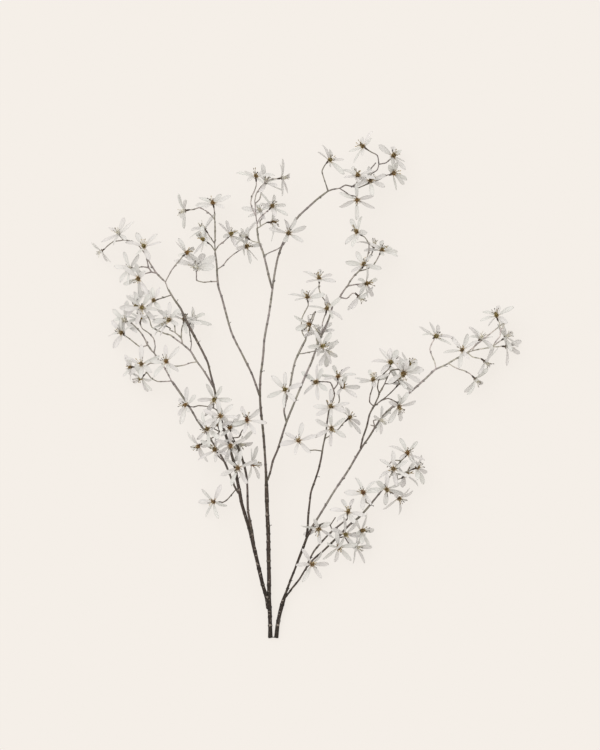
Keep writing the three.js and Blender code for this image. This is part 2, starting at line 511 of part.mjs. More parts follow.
// The way a blossom faces, and the direction of each petal in the plane across it.
function facing({ compass, height, star, cup }) {
  const [c, h, lean] = [compass, height, cup].map(degToRad);
  const front = new THREE.Vector3(Math.cos(c) * Math.cos(h), Math.sin(c) * Math.cos(h), Math.sin(h));
  const across = new THREE.Vector3(-Math.sin(c), Math.cos(c), 0);
  const over = new THREE.Vector3().crossVectors(front, across);
  const turn = stray(180);
  const rays = [];
  for (let i = 0; i < PETALS; i += 1) {
    const ray = new THREE.Vector3();
    if (star) {
      const angle = degToRad(star[i]);
      ray.set(Math.cos(angle), Math.sin(angle), 0);
      const ahead = ray.dot(front);
      const most = Math.asin(Math.min(1, Math.sin(lean) / Math.hypot(ahead, front.z)));
      const tilt = most - Math.atan2(ahead, front.z);
      ray.multiplyScalar(Math.cos(tilt)).setZ(Math.sin(tilt));
      ray.addScaledVector(front, -Math.sin(lean)).normalize();
    } else {
      const angle = degToRad(turn + i * 360 / PETALS + stray(WOBBLE));
      ray.addScaledVector(across, Math.cos(angle)).addScaledVector(over, Math.sin(angle));
    }
    rays.push(ray);
  }
  return { front, across, over, rays };
}

// Room for the middle of a blossom and its calyx.
function heartRoom(centre, front, size) {
  const profile = [[0, -CALYX.depth], [NOTCH + GAP, 0], [0, NOTCH]].map(([r, y]) => new THREE.Vector2(r, y));
  const room = new THREE.LatheGeometry(profile, PETALS);
  room.scale(size, size, size);
  room.applyQuaternion(new THREE.Quaternion().setFromUnitVectors(new THREE.Vector3(0, 1, 0), front));
  room.translate(centre.x, centre.y, centre.z);
  return solidOf(room);
}

// Room for a petal: a thin kite that runs out from the blossom's centre.
function petalRoom(centre, along, front, size, length) {
  const side = new THREE.Vector3().crossVectors(front, along).normalize();
  const through = new THREE.Vector3().crossVectors(side, along);
  const kite = new THREE.OctahedronGeometry(1);
  kite.scale(PETAL.width * size / 2 + GAP, length / 2, PETAL.thickness / 2 * size + GAP);
  kite.translate(0, length / 2, 0);
  kite.applyMatrix4(new THREE.Matrix4().makeBasis(side, along, through));
  kite.translate(centre.x, centre.y, centre.z);
  return solidOf(kite);
}

// A blossom is one thin star with its calyx. The rim runs over each petal's widest points and tip and over
// the notches between petals, and petals that crowd each other are narrower. The front slopes from the middle
// to the rim. The back slopes from the rim to the calyx, a cone of six sides whose corners lie behind the
// notches.
function starSolid(centre, { front, across, over }, petals, size) {
  const angleOf = (way) => Math.atan2(way.dot(over), way.dot(across));
  const ordered = petals.toSorted((a, b) => angleOf(a.along) - angleOf(b.along));
  const angles = ordered.map(({ along }) => angleOf(along));
  const turns = angles.map((angle, i) => euclideanModulo(angles[(i + 1) % PETALS] - angle, 2 * Math.PI));
  const rim = [];
  const corners = [];
  ordered.forEach(({ along, length }, i) => {
    const side = new THREE.Vector3().crossVectors(front, along).normalize();
    const middle = along.clone().multiplyScalar(length / 2);
    const out = Math.hypot(middle.dot(across), middle.dot(over));
    const [right, left] = [turns.at(i - 1), turns[i]].map((turn) => (
      Math.min(PETAL.width * size / 2, CROWDED * out * Math.tan(Math.min(turn, Math.PI / 2) / 2))));
    const notch = angles[i] + turns[i] / 2;
    const between = across.clone().multiplyScalar(Math.cos(notch)).addScaledVector(over, Math.sin(notch));
    rim.push(middle.clone().addScaledVector(side, -right), along.clone().multiplyScalar(length));
    rim.push(middle.clone().addScaledVector(side, left), between.clone().multiplyScalar(NOTCH * size));
    corners.push(between.multiplyScalar(CALYX.radius * size).addScaledVector(front, -PETAL.thickness * size));
  });
  const rows = [
    () => front.clone().multiplyScalar(-CALYX.depth * size),
    (i) => corners[(Math.floor(i / RIM_POINTS + 0.5) + PETALS - 1) % PETALS],
    (i) => rim[i % rim.length],
    () => front.clone().multiplyScalar(PETAL.thickness * size),
  ];
  const star = new THREE.LatheGeometry(rows.map((row, y) => new THREE.Vector2(1, y)), rim.length);
  const at = star.attributes.position;
  for (let i = 0; i < at.count; i += 1) {
    const point = rows[i % rows.length](Math.floor(i / rows.length)).clone().add(centre);
    at.setXYZ(i, point.x, point.y, point.z);
  }
  return solidOf(star);
}

// A petal has room if it stays over the surface and clear of every other part's solids.
function overlapOf(solid, part) {
  const box = boxOf(solid);
  if (box.min.z < REST) return Infinity;
  let volume = 0;
  for (const other of placed) {
    if (other.part !== part && other.box.intersectsBox(box)) volume += other.solid.intersect(solid).volume();
  }
  return volume;
}

// The first lean and swing that give a petal room, or else the best of them.
function roomyPetal(centre, ray, face, { size, cup }, part) {
  const length = PETAL.length * size * (1 + stray(PETAL_SPREAD));
  const base = cup + stray(WOBBLE);
  const best = { overlap: Infinity, length };
  for (const swing of SWINGS) {
    for (const lean of LEANS) {
      const around = ray.clone().applyAxisAngle(face.front, degToRad(swing));
      const angle = degToRad(base + lean);
      const along = around.multiplyScalar(Math.cos(angle)).addScaledVector(face.front, Math.sin(angle));
      const overlap = overlapOf(petalRoom(centre, along, face.front, size, length), part);
      if (overlap < best.overlap) Object.assign(best, { overlap, along });
      if (overlap === 0) return best;
    }
  }
  return best;
}

// ---------- The branch ----------

const matt = (color, roughness) => new THREE.MeshStandardMaterial({ color, roughness, metalness: 0 });
const darkBark = matt(0x3a3128, 0.9); // the two stems and what forks off them low down
const greyBark = matt(0x6b6258, 0.85); // the thinner limbs
const blossomWhite = matt(0xe2dfd8, 0.6);
const DARK = ['heel', 'centre_limb', 'left_limb', 'outer_limb', 'left_twin_limb', 'low_right_limb'];

const branch = new THREE.Group();
function addNode(name, solid, material) {
  const mesh = new THREE.Mesh(geometryOf(solid), material.clone());
  mesh.name = name;
  branch.add(mesh);
}

const wood = woodSolids();
for (const [name, solid] of Object.entries(wood.solids)) {
  place(solid, name);
  addNode(name, solid, DARK.includes(name) ? darkBark : greyBark);
}

// First every twig and the room for every blossom's middle, so that petals can then keep clear of them all.
const grownSprays = [];
for (const [name, [limb, stems]] of Object.entries(SPRAYS)) {
  const lines = [wood.lines[limb]];
  const solids = [];
  const blossoms = [];
  stems.forEach(({ path, blossom: shape }, index) => {
    const part = `${name} ${index}`;
    const points = [nearestWood(lines, path[0]).toArray(), ...path.slice(1)];
    if (shape) {
      const centre = vec(points.pop());
      const face = facing(shape);
      const behind = (depth) => centre.clone().addScaledVector(face.front, -depth).toArray();
      points.push(...STALK_ENDS.map(behind));
      place(heartRoom(centre, face.front, shape.size), part);
      blossoms.push({ part, centre, face, shape });
    }
    const line = lineOf(points, TWIG);
    lines.push(line);
    solids.push(place(tube(line), part));
  });
  grownSprays.push({ name, solids, blossoms });
}

for (const { name, solids, blossoms } of grownSprays) {
  for (const { part, centre, face, shape } of blossoms) {
    const petals = face.rays.map((ray) => roomyPetal(centre, ray, face, shape, part));
    solids.push(place(starSolid(centre, face, petals, shape.size), part));
  }
  let whole = solids.reduce((sum, solid) => sum.add(solid));
  for (const grown of Object.values(wood.grown)) whole = whole.subtract(grown);
  addNode(`spray_${name}`, largest(whole), blossomWhite);
}

// The origin is at the middle of the branch's box, on the surface.
const extent = new THREE.Box3().setFromObject(branch);
const middle = extent.getCenter(new THREE.Vector3());
branch.position.set(-middle.x, -middle.y, -extent.min.z);

export default branch;
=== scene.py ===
# A cut branch in blossom, lying on a pale table. Metres, +Z up. It lies along Y, with its sawn end low.
# Limbs and twigs are swept along the middles of the CAD solids, and every petal follows its CAD petal.
import random
from math import copysign, cos, exp, pi, radians, sin, sqrt, tan, tau

import bpy
import numpy as np
from mathutils import Matrix, Vector
from numpy.linalg import norm


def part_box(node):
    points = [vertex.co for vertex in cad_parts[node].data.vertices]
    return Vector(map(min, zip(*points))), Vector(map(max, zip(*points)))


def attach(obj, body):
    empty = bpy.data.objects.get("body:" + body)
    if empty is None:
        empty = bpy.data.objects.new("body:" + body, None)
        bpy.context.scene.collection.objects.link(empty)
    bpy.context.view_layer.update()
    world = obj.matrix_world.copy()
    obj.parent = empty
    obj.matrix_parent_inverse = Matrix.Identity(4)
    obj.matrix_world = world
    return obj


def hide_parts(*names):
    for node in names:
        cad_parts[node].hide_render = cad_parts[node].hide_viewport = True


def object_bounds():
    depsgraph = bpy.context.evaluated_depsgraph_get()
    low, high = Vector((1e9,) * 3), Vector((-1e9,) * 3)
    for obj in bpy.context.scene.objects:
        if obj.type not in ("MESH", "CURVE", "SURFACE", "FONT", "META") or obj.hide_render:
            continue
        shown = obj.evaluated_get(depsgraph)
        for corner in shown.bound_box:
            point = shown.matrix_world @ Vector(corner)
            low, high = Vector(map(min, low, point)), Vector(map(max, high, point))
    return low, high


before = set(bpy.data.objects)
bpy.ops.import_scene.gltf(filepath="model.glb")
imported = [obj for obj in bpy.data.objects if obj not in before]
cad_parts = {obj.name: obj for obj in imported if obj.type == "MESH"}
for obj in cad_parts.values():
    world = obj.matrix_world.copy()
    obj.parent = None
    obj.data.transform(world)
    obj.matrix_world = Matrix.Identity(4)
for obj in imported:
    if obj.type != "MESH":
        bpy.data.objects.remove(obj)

CAD_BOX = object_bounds()

# --- Sizes, in millimetres unless a line says otherwise ---

MM = 0.001
SEED = 11

# What the CAD solids look like
PETALS = 6  # on a blossom
RIM_CORNERS = 24  # round a blossom's star
STAR_CREST = 1.1  # height of a full-sized star's middle over its notches
LIMB_CORNERS, TWIG_CORNERS = 6, 4  # on a ring
LIMB_RING, TWIG_RING = 5.2, 2.7  # corners closer than this are on one ring
CALYX_ROOM = [-12.5, 3, 3.3]  # corners from behind to before a blossom, this near its axis, are its own
STALK_BEHIND = 14  # a stalk comes straight to its blossom from here
STALK_IN = [8, 1.5]  # its last two stops
ROOT_REACH = 3  # from a limb's bark to a spray's first ring, at most

# Wood
STEP = 1.8  # between rings of the swept wood
TWIG_RADIUS = [1.0, 1.9]  # least and most
THICK_LIMB = 3  # a thicker limb has fewer buds and spurs
ROUNDING = 0.55  # share by which the wood rounds its corners
ROOT_SWELL, SWELL_REACH = 0.14, 2.2  # share by which wood swells at its root, and over how many radii
ROOT_SHADE, SHADE_REACH = 0.3, 2.5  # the same for how much darker it is there
KNOT_LENGTH = 1.7
KNOT_SWELL, KNOT_SHADE = (0.6, 1.3), (0.2, 0.55)  # shares
WAVER, WAVER_LENGTH = 0.04, 9  # share by which the wood's thickness comes and goes, and over what length
BLUNT_TIP = 0.6  # share of the last ring
LIMB_WOOD = {"gap": (14, 36), "knot": 0.2, "sides": 18, "grain": 260.0}  # gap is from knot to knot
TWIG_WOOD = {"gap": (12, 26), "knot": 0.3, "sides": 8, "grain": 420.0}
ROUGH_BARK = 0.25  # how far its grain stands out, as a share of the radius
SHOOTS = {"thick": (0.3, 0.1), "thin": (0.55, 0.2), "twig": (0.5, 0.04)}  # shares of knots with buds, spurs
SHOOT_SIZES = {"bud": (0.7, 1.15), "spur": (0.4, 0.85)}
STEMS = ["centre_limb", "outer_limb"]  # they grow from the heel
STEM_START = 1.5  # behind the sawn face
HEEL_SIDES = 36
HEEL_SECTION = [(0, 0.93), (0.06, 0.99), (0.5, 1.0), (0.94, 0.97), (1, 0.86)]  # shares of depth and of size
HEEL_WAIST = 0.6  # how far the heel is pinched between its lobes
HEEL_NOTCH = 0.7  # and how far it is cut back there

# Blossoms
KINDS = {"petal": 14, "stamen": 8, "heart": 4, "calyx": 3, "bud": 3, "spur": 4}  # how many shapes of each
PETAL_LENGTH = 38
PETAL_HALF_WIDTH = 4.5
PETAL_SKIN = 0.3  # thickness in the middle
PETAL_OUTLINE = [  # shares of a petal's length, and of its half width there
    (0, 0.12, 0.27, 0.43, 0.6, 0.78, 0.92, 1),
    (0.22, 0.36, 0.66, 0.9, 1, 0.97, 0.66, 0),
]
PETAL_ACROSS = [-1, -0.84, 0, 0.84, 1]
PETAL_ROLL = 0.4  # radians at most, about its own length
PETAL_LEVEL = 0.5  # how far a petal turns about its length to lie flat
PETAL_WIDE = (0.9, 1.12)  # shares of the blossom's size
PETAL_LIFT = (-0.2, 0.9)
STAMENS = (7, 10)
STAMEN_LONG = (0.82, 1.12)
CLEAR = 0.2  # the least height of anything over the table
SOFT = 0.3  # how softly a piece comes to lie on the table

# Colours
PETAL_GLOW = 0.36  # share of the light that comes through the silk
PETAL_LIGHT = (0.81, 0.805, 0.795, 1)  # the colour of what comes through
HEARTS = {  # colours of a spray's hearts, from the sawn end outwards
    "left_tip": "bgngog", "left_wide": "ob", "second_left_tip": "gbbo", "second_left_behind": "g",
    "second_left_front": "n", "low_left_tip": "obbbgo", "cluster_top": "nno", "cluster_left": "nbb",
    "cluster_right": "gnr", "cluster_heart": "n", "cluster_foot": "n", "twin_side": "r",
    "low_left_lone": "r", "centre_left_elbow": "p", "centre_left_tip": "ooggn", "top_left_tip": "bgbggb",
    "top_right": "nbbnobb", "right_of_centre_side": "ogb", "side_tip": "nb", "side_front": "o",
    "inner_left": "n", "inner_tip": "bbbn", "far_tip": "gboo", "far_side": "bgb", "outer_hooked": "o",
    "outer_hanging": "g", "outer_tip": "gbgggo", "low_right_front": "n", "low_right_upper": "r",
    "low_right_cluster": "rgob", "low_right_tip": "bbbn", "right_of_centre_tip": "gbbbbgb",
    "side_crossing": "g", "top_left_behind": "g", "outer_side": "g",
}
HEART_COLOURS = {"b": "5a4526", "n": "684720", "r": "5a2f1c", "o": "645828", "g": "ccc9be", "p": "dcdcd8"}
PALE_HEARTS = "gp"
ANTHERS = ["2f261e", "a58f58", "43351f", "7d6d48", "5b4826"]
PALE_ANTHERS = ["c2beb4", "5e5850", "d4d0c6", "7c766c", "cac6bc"]
LIMB_TONES = {  # how light a limb's bark is, from 0 to 255, at distances from the sawn end
    "centre_limb": (
        (0, 80, 130, 230, 300, 350, 430, 500, 560, 640, 690, 740, 790, 850, 890),
        (26, 32, 50, 52, 66, 92, 96, 110, 134, 160, 150, 144, 122, 144, 136)),
    "outer_limb": (
        (0, 90, 120, 190, 240, 290, 345, 400, 450, 500, 563),
        (26, 32, 58, 42, 120, 150, 132, 104, 140, 168, 184)),
    "left_limb": (
        (62, 150, 220, 310, 400, 500, 560, 620, 655, 690),
        (26, 32, 54, 64, 90, 96, 98, 94, 104, 140)),
    "left_twin_limb": ((170, 300, 385), (50, 86, 72)),
    "low_left_limb": ((286, 350, 430, 500), (82, 100, 140, 145)),
    "second_left_limb": ((500, 542, 590), (118, 148, 150)),
    "centre_left_limb": ((484, 513, 590, 774), (106, 126, 140, 138)),
    "top_left_limb": ((700, 741, 822), (124, 145, 155)),
    "right_of_centre_limb": ((312, 400, 454, 500, 550, 666), (88, 104, 142, 168, 145, 145)),
    "side_limb": ((433, 470, 600), (116, 158, 148)),
    "inner_limb": ((198, 255, 334, 400, 460), (44, 70, 74, 116, 116)),
    "far_limb": ((377, 424, 472), (88, 96, 104)),
    "low_right_limb": ((80, 116, 200, 250, 320), (56, 72, 90, 130, 148)),
    "low_right_twin_limb": ((134, 232), (84, 125)),
}
BARK_HUE = np.array([11, 0, -9])  # what each colour has beside the tone, in dark bark
HUE_SHARE = ((50, 150), (1, 0.45))  # how much of it there is at these tones
TWIG_PALE = 1.45  # how much lighter a twig's bark is than its limb's, but for these
DARK_TWIGS = ["left_wide", "low_right_twin_side", "second_left_behind", "side_crossing", "top_left_crossing",
              "top_right"]

# Table, light and camera
TABLE_HALF = 150  # metres
TABLE_PAINT = (0.1, 0.1, 0.1, 1)
STUDIO_AIR = (0.913, 0.863, 0.807, 1)
KEY_LIGHT = 0.32  # beside the air's light
KEY_TILT = 38  # degrees
KEY_SPREAD = 50  # degrees that the soft light is wide
TABLE_GLOW = tuple(air - TABLE_PAINT[0] * (air + KEY_LIGHT) for air in STUDIO_AIR[:3]) + (1,)
LENS, SENSOR = 600, 36
VIEW_LENGTH = 1.5  # metres of the table, from the bottom of the view to its top
VIEW_MIDDLE = (0.0638, 0.528)  # metres from the heel's lowest corner
VIEW_END = 100  # metres


def unit(v):
    """A vector of length 1."""
    return v / norm(v)


def paint(code):
    """A colour from its six hexadecimal digits."""
    parts = [int(code[i:i + 2], 16) / 255 for i in (0, 2, 4)]
    return tuple(p / 12.92 if p <= 0.04045 else ((p + 0.055) / 1.055) ** 2.4 for p in parts) + (1,)


# --- Node trees, written as sums ---

def is_vector(item):
    if isinstance(item, Value):
        return item.socket.type in ("VECTOR", "RGBA")
    return isinstance(item, (tuple, list, Vector))


def sides(operation):
    """An operator's two methods, for a Value on its left and for one on its right."""
    return (lambda a, b: a._work(operation, a, b)), (lambda b, a: b._work(operation, a, b))


class Value:
    """A socket of a node tree that takes part in sums as a number does."""

    def __init__(self, graph, socket):
        self.graph, self.socket = graph, socket

    def __getitem__(self, name):
        """Another outlet of the same node."""
        outlets = self.socket.node.outputs
        return Value(self.graph, next(s for s in outlets if s.enabled and s.name == name))

    def _work(self, operation, *items):
        kind = "ShaderNodeMath"
        if any(map(is_vector, items)):
            kind = "ShaderNodeVectorMath"
            items = [i if isinstance(i, Value) else i[:3] if is_vector(i) else (i,) * 3 for i in items]
        return self.graph.add(kind, dict(enumerate(items)), operation=operation)

    __add__, __radd__ = sides("ADD")
    __sub__, __rsub__ = sides("SUBTRACT")
    __mul__, __rmul__ = sides("MULTIPLY")

    def __abs__(self):
        return self._work("ABSOLUTE", self)

    def part(self):
        """What is left over a whole number."""
        return self._work("FRACT", self)

    def step(self, low, high):
        """0 up to low, 1 from high on, and smooth between."""
        return self.graph.add("ShaderNodeMapRange", {"Value": self, "From Min": low, "From Max": high},
                              interpolation_type="SMOOTHSTEP")

    def blend(self, low, high):
        """low where this is 0 and high where it is 1."""
        kind = "RGBA" if is_vector(low) or is_vector(high) else "FLOAT"
        return self.graph.add("ShaderNodeMix", {"Factor": self, "A": low, "B": high}, data_type=kind)


class Graph:
    """A node tree in the making."""

    def __init__(self, tree):
        self.tree = tree
        tree.nodes.clear()

    def add(self, kind, sockets=None, **settings):
        """A node of that type: its settings are set first, then its sockets, by name or number."""
        node = self.tree.nodes.new(kind)
        for name, setting in settings.items():
            setattr(node, name, setting)
        for name, item in (sockets or {}).items():
            inlets = [s for s in node.inputs if s.enabled]
            socket = inlets[name] if isinstance(name, int) else next(s for s in inlets if s.name == name)
            if isinstance(item, Value):
                self.tree.links.new(item.socket, socket)
            else:
                socket.default_value = item
        outlets = [s for s in node.outputs if s.enabled]
        return Value(self, outlets[0]) if outlets else None

    def parts(self, vector):
        """A vector's X, Y and Z."""
        return self.add("ShaderNodeSeparateXYZ", {"Vector": vector})

    def named(self, name, kind="FLOAT"):
        """An attribute of the geometry."""
        return self.add("GeometryNodeInputNamedAttribute", {"Name": name}, data_type=kind)

    def stored(self, geometry, name, value, kind="FLOAT"):
        """The geometry with the value kept on its points."""
        return self.add("GeometryNodeStoreNamedAttribute",
                        {"Geometry": geometry, "Name": name, "Value": value}, data_type=kind)

    def place(self):
        """Object coordinates."""
        return self.add("ShaderNodeTexCoord")["Object"]

    def layer(self, name):
        """What a piece's attribute holds."""
        return self.add("ShaderNodeAttribute", attribute_name=name)

    def unrolled(self, name):
        """X and Y of a piece's UV map."""
        return self.parts(self.add("ShaderNodeUVMap", uv_map=name))

    def noise(self, scale, detail=3.0, roughness=0.55, place=None):
        return self.add("ShaderNodeTexNoise", {
            "Vector": place or self.place(), "Scale": scale, "Detail": detail, "Roughness": roughness})["Fac"]

    def bump(self, strength, distance, height):
        return self.add("ShaderNodeBump", {"Strength": strength, "Distance": distance, "Height": height})


# --- Reading the CAD ---

def welded(node):
    """A CAD node's corners, each once, and its triangles."""
    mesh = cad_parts[node].data
    spots = np.array([v.co for v in mesh.vertices]) / MM
    mesh.calc_loop_triangles()
    faces = np.array([t.vertices for t in mesh.loop_triangles])
    _, first, index = np.unique(np.round(spots, 3), axis=0, return_index=True, return_inverse=True)
    return spots[first], index.ravel()[faces]


def fan_round(apex, faces):
    """The corners round one corner, counterclockwise seen from outside."""
    after = {}
    for triangle in faces[(faces == apex).any(axis=1)]:
        i = list(triangle).index(apex)
        after[triangle[(i + 1) % 3]] = triangle[(i + 2) % 3]
    loop = [min(after)]
    while len(loop) < len(after):
        loop.append(after[loop[-1]])
    return loop


def read_blossom(apex, spots, faces):
    """Middle, front, size and petals of a CAD star. A petal is its tip and the way across it."""
    rim = spots[fan_round(apex, faces)]
    notches = sorted(np.argsort(norm(rim - spots[apex], axis=1))[:PETALS])
    centre = rim[notches].mean(axis=0)
    petals = []
    for start, end in zip(notches, notches[1:] + notches[:1]):
        rays = np.roll(rim, -start - 1, axis=0)[:(end - start - 1) % len(rim)] - centre
        tip = np.argmax(norm(rays, axis=1))
        along = unit(rays[tip])
        width = norm(rays - np.outer(rays @ along, along), axis=1)
        left, right = np.argmax(width[:tip]), tip + 1 + np.argmax(width[tip + 1:])
        petals.append((rays[tip], unit(rays[right] - rays[left])))
    crest = spots[apex] - centre
    return {"centre": centre, "front": unit(crest), "size": norm(crest) / STAR_CREST, "petals": petals}


def clusters(spots, reach):
    """The number of each spot's group, where spots nearer than reach are together."""
    near = norm(spots[:, None] - spots[None], axis=2) < reach
    label = np.arange(len(spots))
    while True:
        lower = np.array([label[row].min() for row in near])
        if (lower == label).all():
            return np.unique(label, return_inverse=True)[1]
        label = lower


def read_wood(spots, faces, keep, reach):
    """Rings of the kept corners: their middles and radii, and each ring's neighbours along the wood."""
    ring = np.full(len(spots), -1)
    ring[keep] = clusters(spots[keep], reach)
    count = ring.max() + 1
    middles = np.array([spots[ring == i].mean(axis=0) for i in range(count)])
    radii = np.array([norm(spots[ring == i] - middles[i], axis=1).mean() for i in range(count)])
    corners = np.bincount(ring[keep])
    joined = {tuple(sorted(pair)) for t in ring[faces] for pair in zip(t, np.roll(t, 1)) if min(pair) >= 0}
    away = {(b, a): norm(middles[a] - middles[b]) for a in range(count) for b in range(a)}
    group = list(range(count))
    beside = {i: set() for i in range(count)}
    for a, b in sorted(away, key=lambda pair: (pair not in joined, away[pair])):
        if group[a] != group[b]:
            old = group[b]
            group = [group[a] if g == old else g for g in group]
            beside[a].add(b)
            beside[b].add(a)
    return middles, radii, corners, beside


def farthest(start, beside, middles):
    """The way through the rings from one of them to the farthest end."""
    best, todo = (0, [start]), [(0, [start])]
    while todo:
        run, way = todo.pop()
        best = max(best, (run, way))
        for ring in sorted(beside[way[-1]] - set(way[-2:-1])):
            todo.append((run + norm(middles[ring] - middles[way[-1]]), way + [ring]))
    return best[1]


def read_limb(node):
    """A limb's middle line as rows of x, y, z and radius."""
    spots, faces = welded(node)
    middles, radii, corners, beside = read_wood(spots, faces, np.arange(len(spots)), LIMB_RING)
    way = farthest(farthest(0, beside, middles)[-1], beside, middles)
    line = np.column_stack([middles, radii])[way]
    whole = [i for i, ring in enumerate(way) if corners[ring] == LIMB_CORNERS]
    line[:, 3] = np.interp(range(len(way)), whole, line[whole, 3])
    return line


def nearest_on(line, spot):
    """The nearest point of a line of rows to a spot, and its distance from the surface there."""
    near = []
    for a, b in zip(line, line[1:]):
        way = b[:3] - a[:3]
        row = a + (b - a) * np.clip((spot - a[:3]) @ way / (way @ way), 0, 1)
        near.append((row, norm(spot - row[:3]) - row[3]))
    return min(near, key=lambda n: n[1])


limbs = {name: read_limb(name) for name in sorted(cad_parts) if name.endswith("_limb")}


def rooted(line, others):
    """The line from its root outwards, drawn on into the middle of the limb that it grows from."""
    ends = [(*nearest_on(other, way[0][:3]), way) for way in (line, line[::-1]) for other in others]
    row, _, way = min(ends, key=lambda end: end[1])
    return np.vstack([np.append(row[:3], way[0][3]), way])


def read_spray(node):
    """A spray's blossoms, and the middle lines of its twigs, each from its root outwards."""
    spots, faces = welded(node)
    apexes = np.nonzero(np.bincount(faces.ravel()) >= RIM_CORNERS)[0]
    blossoms = sorted((read_blossom(apex, spots, faces) for apex in apexes),
                      key=lambda b: (round(b["centre"][1]), b["centre"][0]))
    keep = np.ones(len(spots), bool)
    for apex in apexes:
        keep[fan_round(apex, faces)] = False
    back, front, radius = CALYX_ROOM
    for b in blossoms:
        off = spots - b["centre"]
        level = off @ b["front"]
        aside = norm(off - np.outer(level, b["front"]), axis=1)
        keep[(level > back) & (level < front) & (aside < radius)] = False
    middles, radii, corners, beside = read_wood(spots, faces, np.nonzero(keep)[0], TWIG_RING)
    near = [min(((*nearest_on(limb, spot), name) for name, limb in limbs.items()), key=lambda n: n[1])
            for spot in middles]
    held = {}
    for b in blossoms:
        stop = b["centre"] - b["front"] * STALK_BEHIND
        held.setdefault(int(np.argmin(norm(middles - stop, axis=1))), []).append(b)
    root = min(range(len(middles)), key=lambda i: (
        near[i][1] > ROOT_REACH, len(beside[i]) > 1 or i in held, near[i][1]))
    while stray := [i for i in beside if len(beside[i]) == 1 and corners[i] < TWIG_CORNERS
                    and i not in held and i != root]:
        for i in stray:
            beside[beside.pop(i).pop()].discard(i)
    whole = [i for i in beside if corners[i] == TWIG_CORNERS]
    for i in set(beside) - set(whole):
        radii[i] = (radii[min(whole, key=lambda k: norm(middles[k] - middles[i]))] if whole
                    else TWIG_RADIUS[0])
    rows = np.column_stack([middles, np.clip(radii, *TWIG_RADIUS)])

    def run(ring, came):
        """Length of the wood from a ring outwards."""
        return max([norm(middles[n] - middles[ring]) + run(n, ring)
                    for n in beside[ring] if n != came] + [0])

    lines = []

    def follow(ring, came, line):
        """Draws a line on from a ring. The longest wood goes on with it, and the rest starts new ones."""
        line = line + [rows[ring]]
        onward = sorted((n for n in beside[ring] if n != came), key=lambda n: -run(n, ring))
        for n in onward:
            follow(n, ring, line if n == onward[0] else line[-1:])
        for i, b in enumerate(held.get(ring, [])):
            stalk = [[*(b["centre"] - b["front"] * stop * b["size"]), TWIG_RADIUS[0]] for stop in STALK_IN]
            lines.append(np.array((line[-1:] if i or onward else line) + stalk))
        if not onward and ring not in held:
            lines.append(np.array(line))

    row, _, limb = near[root]
    follow(root, None, [[*row[:3], rows[root][3]]])
    return blossoms, lines, limb


# --- Lines of wood ---

def drawn_through(rows):
    """A smooth line of rows through the given ones, with rows about a step apart."""
    padded = np.vstack([2 * rows[0] - rows[1], rows, 2 * rows[-1] - rows[-2]])
    made = []
    for a, b, c, d in zip(padded, padded[1:], padded[2:], padded[3:]):
        count = max(1, round(norm(c[:3] - b[:3]) / STEP))
        for t in np.arange(count) / count:
            pull = ((c - a) * t + (2 * a - 5 * b + 4 * c - d) * t ** 2 + (3 * (b - c) + d - a) * t ** 3) / 2
            made.append(b + pull * ROUNDING + (c - b) * t * (1 - ROUNDING))
    made.append(rows[-1])
    return np.array(made)


def bark_colour(limb, rows):
    """The colour of a limb's bark beside each row."""
    tone = np.interp(rows[:, 1] - CAD_BOX[0].y / MM, *LIMB_TONES[limb])
    coded = (tone[:, None] + BARK_HUE * np.interp(tone, *HUE_SHARE)[:, None]) / 255
    return ((coded + 0.055) / 1.055) ** 2.4


def grown_wood(rows, limb, rng, wood, blunt):
    """A line of wood with a swollen root and knots, and the rows of its knots.

    The line's rows are x, y, z, radius and colour."""
    line = drawn_through(rows)
    run = np.append(0, np.cumsum(norm(np.diff(line[:, :3], axis=0), axis=1)))
    swell = 1 + ROOT_SWELL * np.exp(-run / (SWELL_REACH * line[0, 3]))
    shade = 1 - ROOT_SHADE * np.exp(-run / (SHADE_REACH * line[0, 3]))
    at, knots = rng.uniform(*wood["gap"]), []
    while at < run[-1] - wood["gap"][0] / 2:
        near = np.exp(-((run - at) / KNOT_LENGTH) ** 2)
        swell = swell + rng.uniform(*KNOT_SWELL) * wood["knot"] * near
        shade = shade * (1 - rng.uniform(*KNOT_SHADE) * near)
        knots.append(int(np.argmin(abs(run - at))))
        at += rng.uniform(*wood["gap"])
    line[:, 3] *= swell * (1 + WAVER * np.sin(run / WAVER_LENGTH + rng.uniform(0, 6)))
    if blunt:
        line[-1, 3] *= BLUNT_TIP
    return np.column_stack([line, bark_colour(limb, line) * shade[:, None]]), knots


# --- Meshes ---

def mesh_of(name, corners, faces, layers=None):
    """A mesh in metres from corners in millimetres. A layer holds a pair for each corner, as a UV map."""
    mesh = bpy.data.meshes.new(name)
    mesh.from_pydata([tuple(c * MM for c in corner) for corner in corners], [], faces, shade_flat=False)
    for layer, pairs in (layers or {}).items():
        uv = mesh.uv_layers.new(name=layer)
        for loop in mesh.loops:
            uv.data[loop.index].uv = pairs[loop.vertex_index]
    mesh.validate()
    return mesh


def hold(mesh, name, values, kind="FLOAT_VECTOR"):
    """Keeps a number or a vector for each corner of a mesh."""
    field = "vector" if kind == "FLOAT_VECTOR" else "value"
    mesh.attributes.new(name, kind, "POINT").data.foreach_set(field, values)


def in_scene(name, data):
    """A new object in the scene."""
    thing = bpy.data.objects.new(name, data)
    bpy.context.scene.collection.objects.link(thing)
    return thing


def strung(lines):
    """A mesh of edges along lines of rows, with the radius and colour of each row."""
    rows = np.vstack(lines)
    edges, start = [], 0
    for line in lines:
        edges += [(i, i + 1) for i in range(start, start + len(line) - 1)]
        start += len(line)
    mesh = bpy.data.meshes.new("wood")
    mesh.from_pydata((rows[:, :3] * MM).tolist(), edges, [])
    hold(mesh, "radius", rows[:, 3] * MM, "FLOAT")
    hold(mesh, "tint", rows[:, 4:7].ravel())
    return mesh


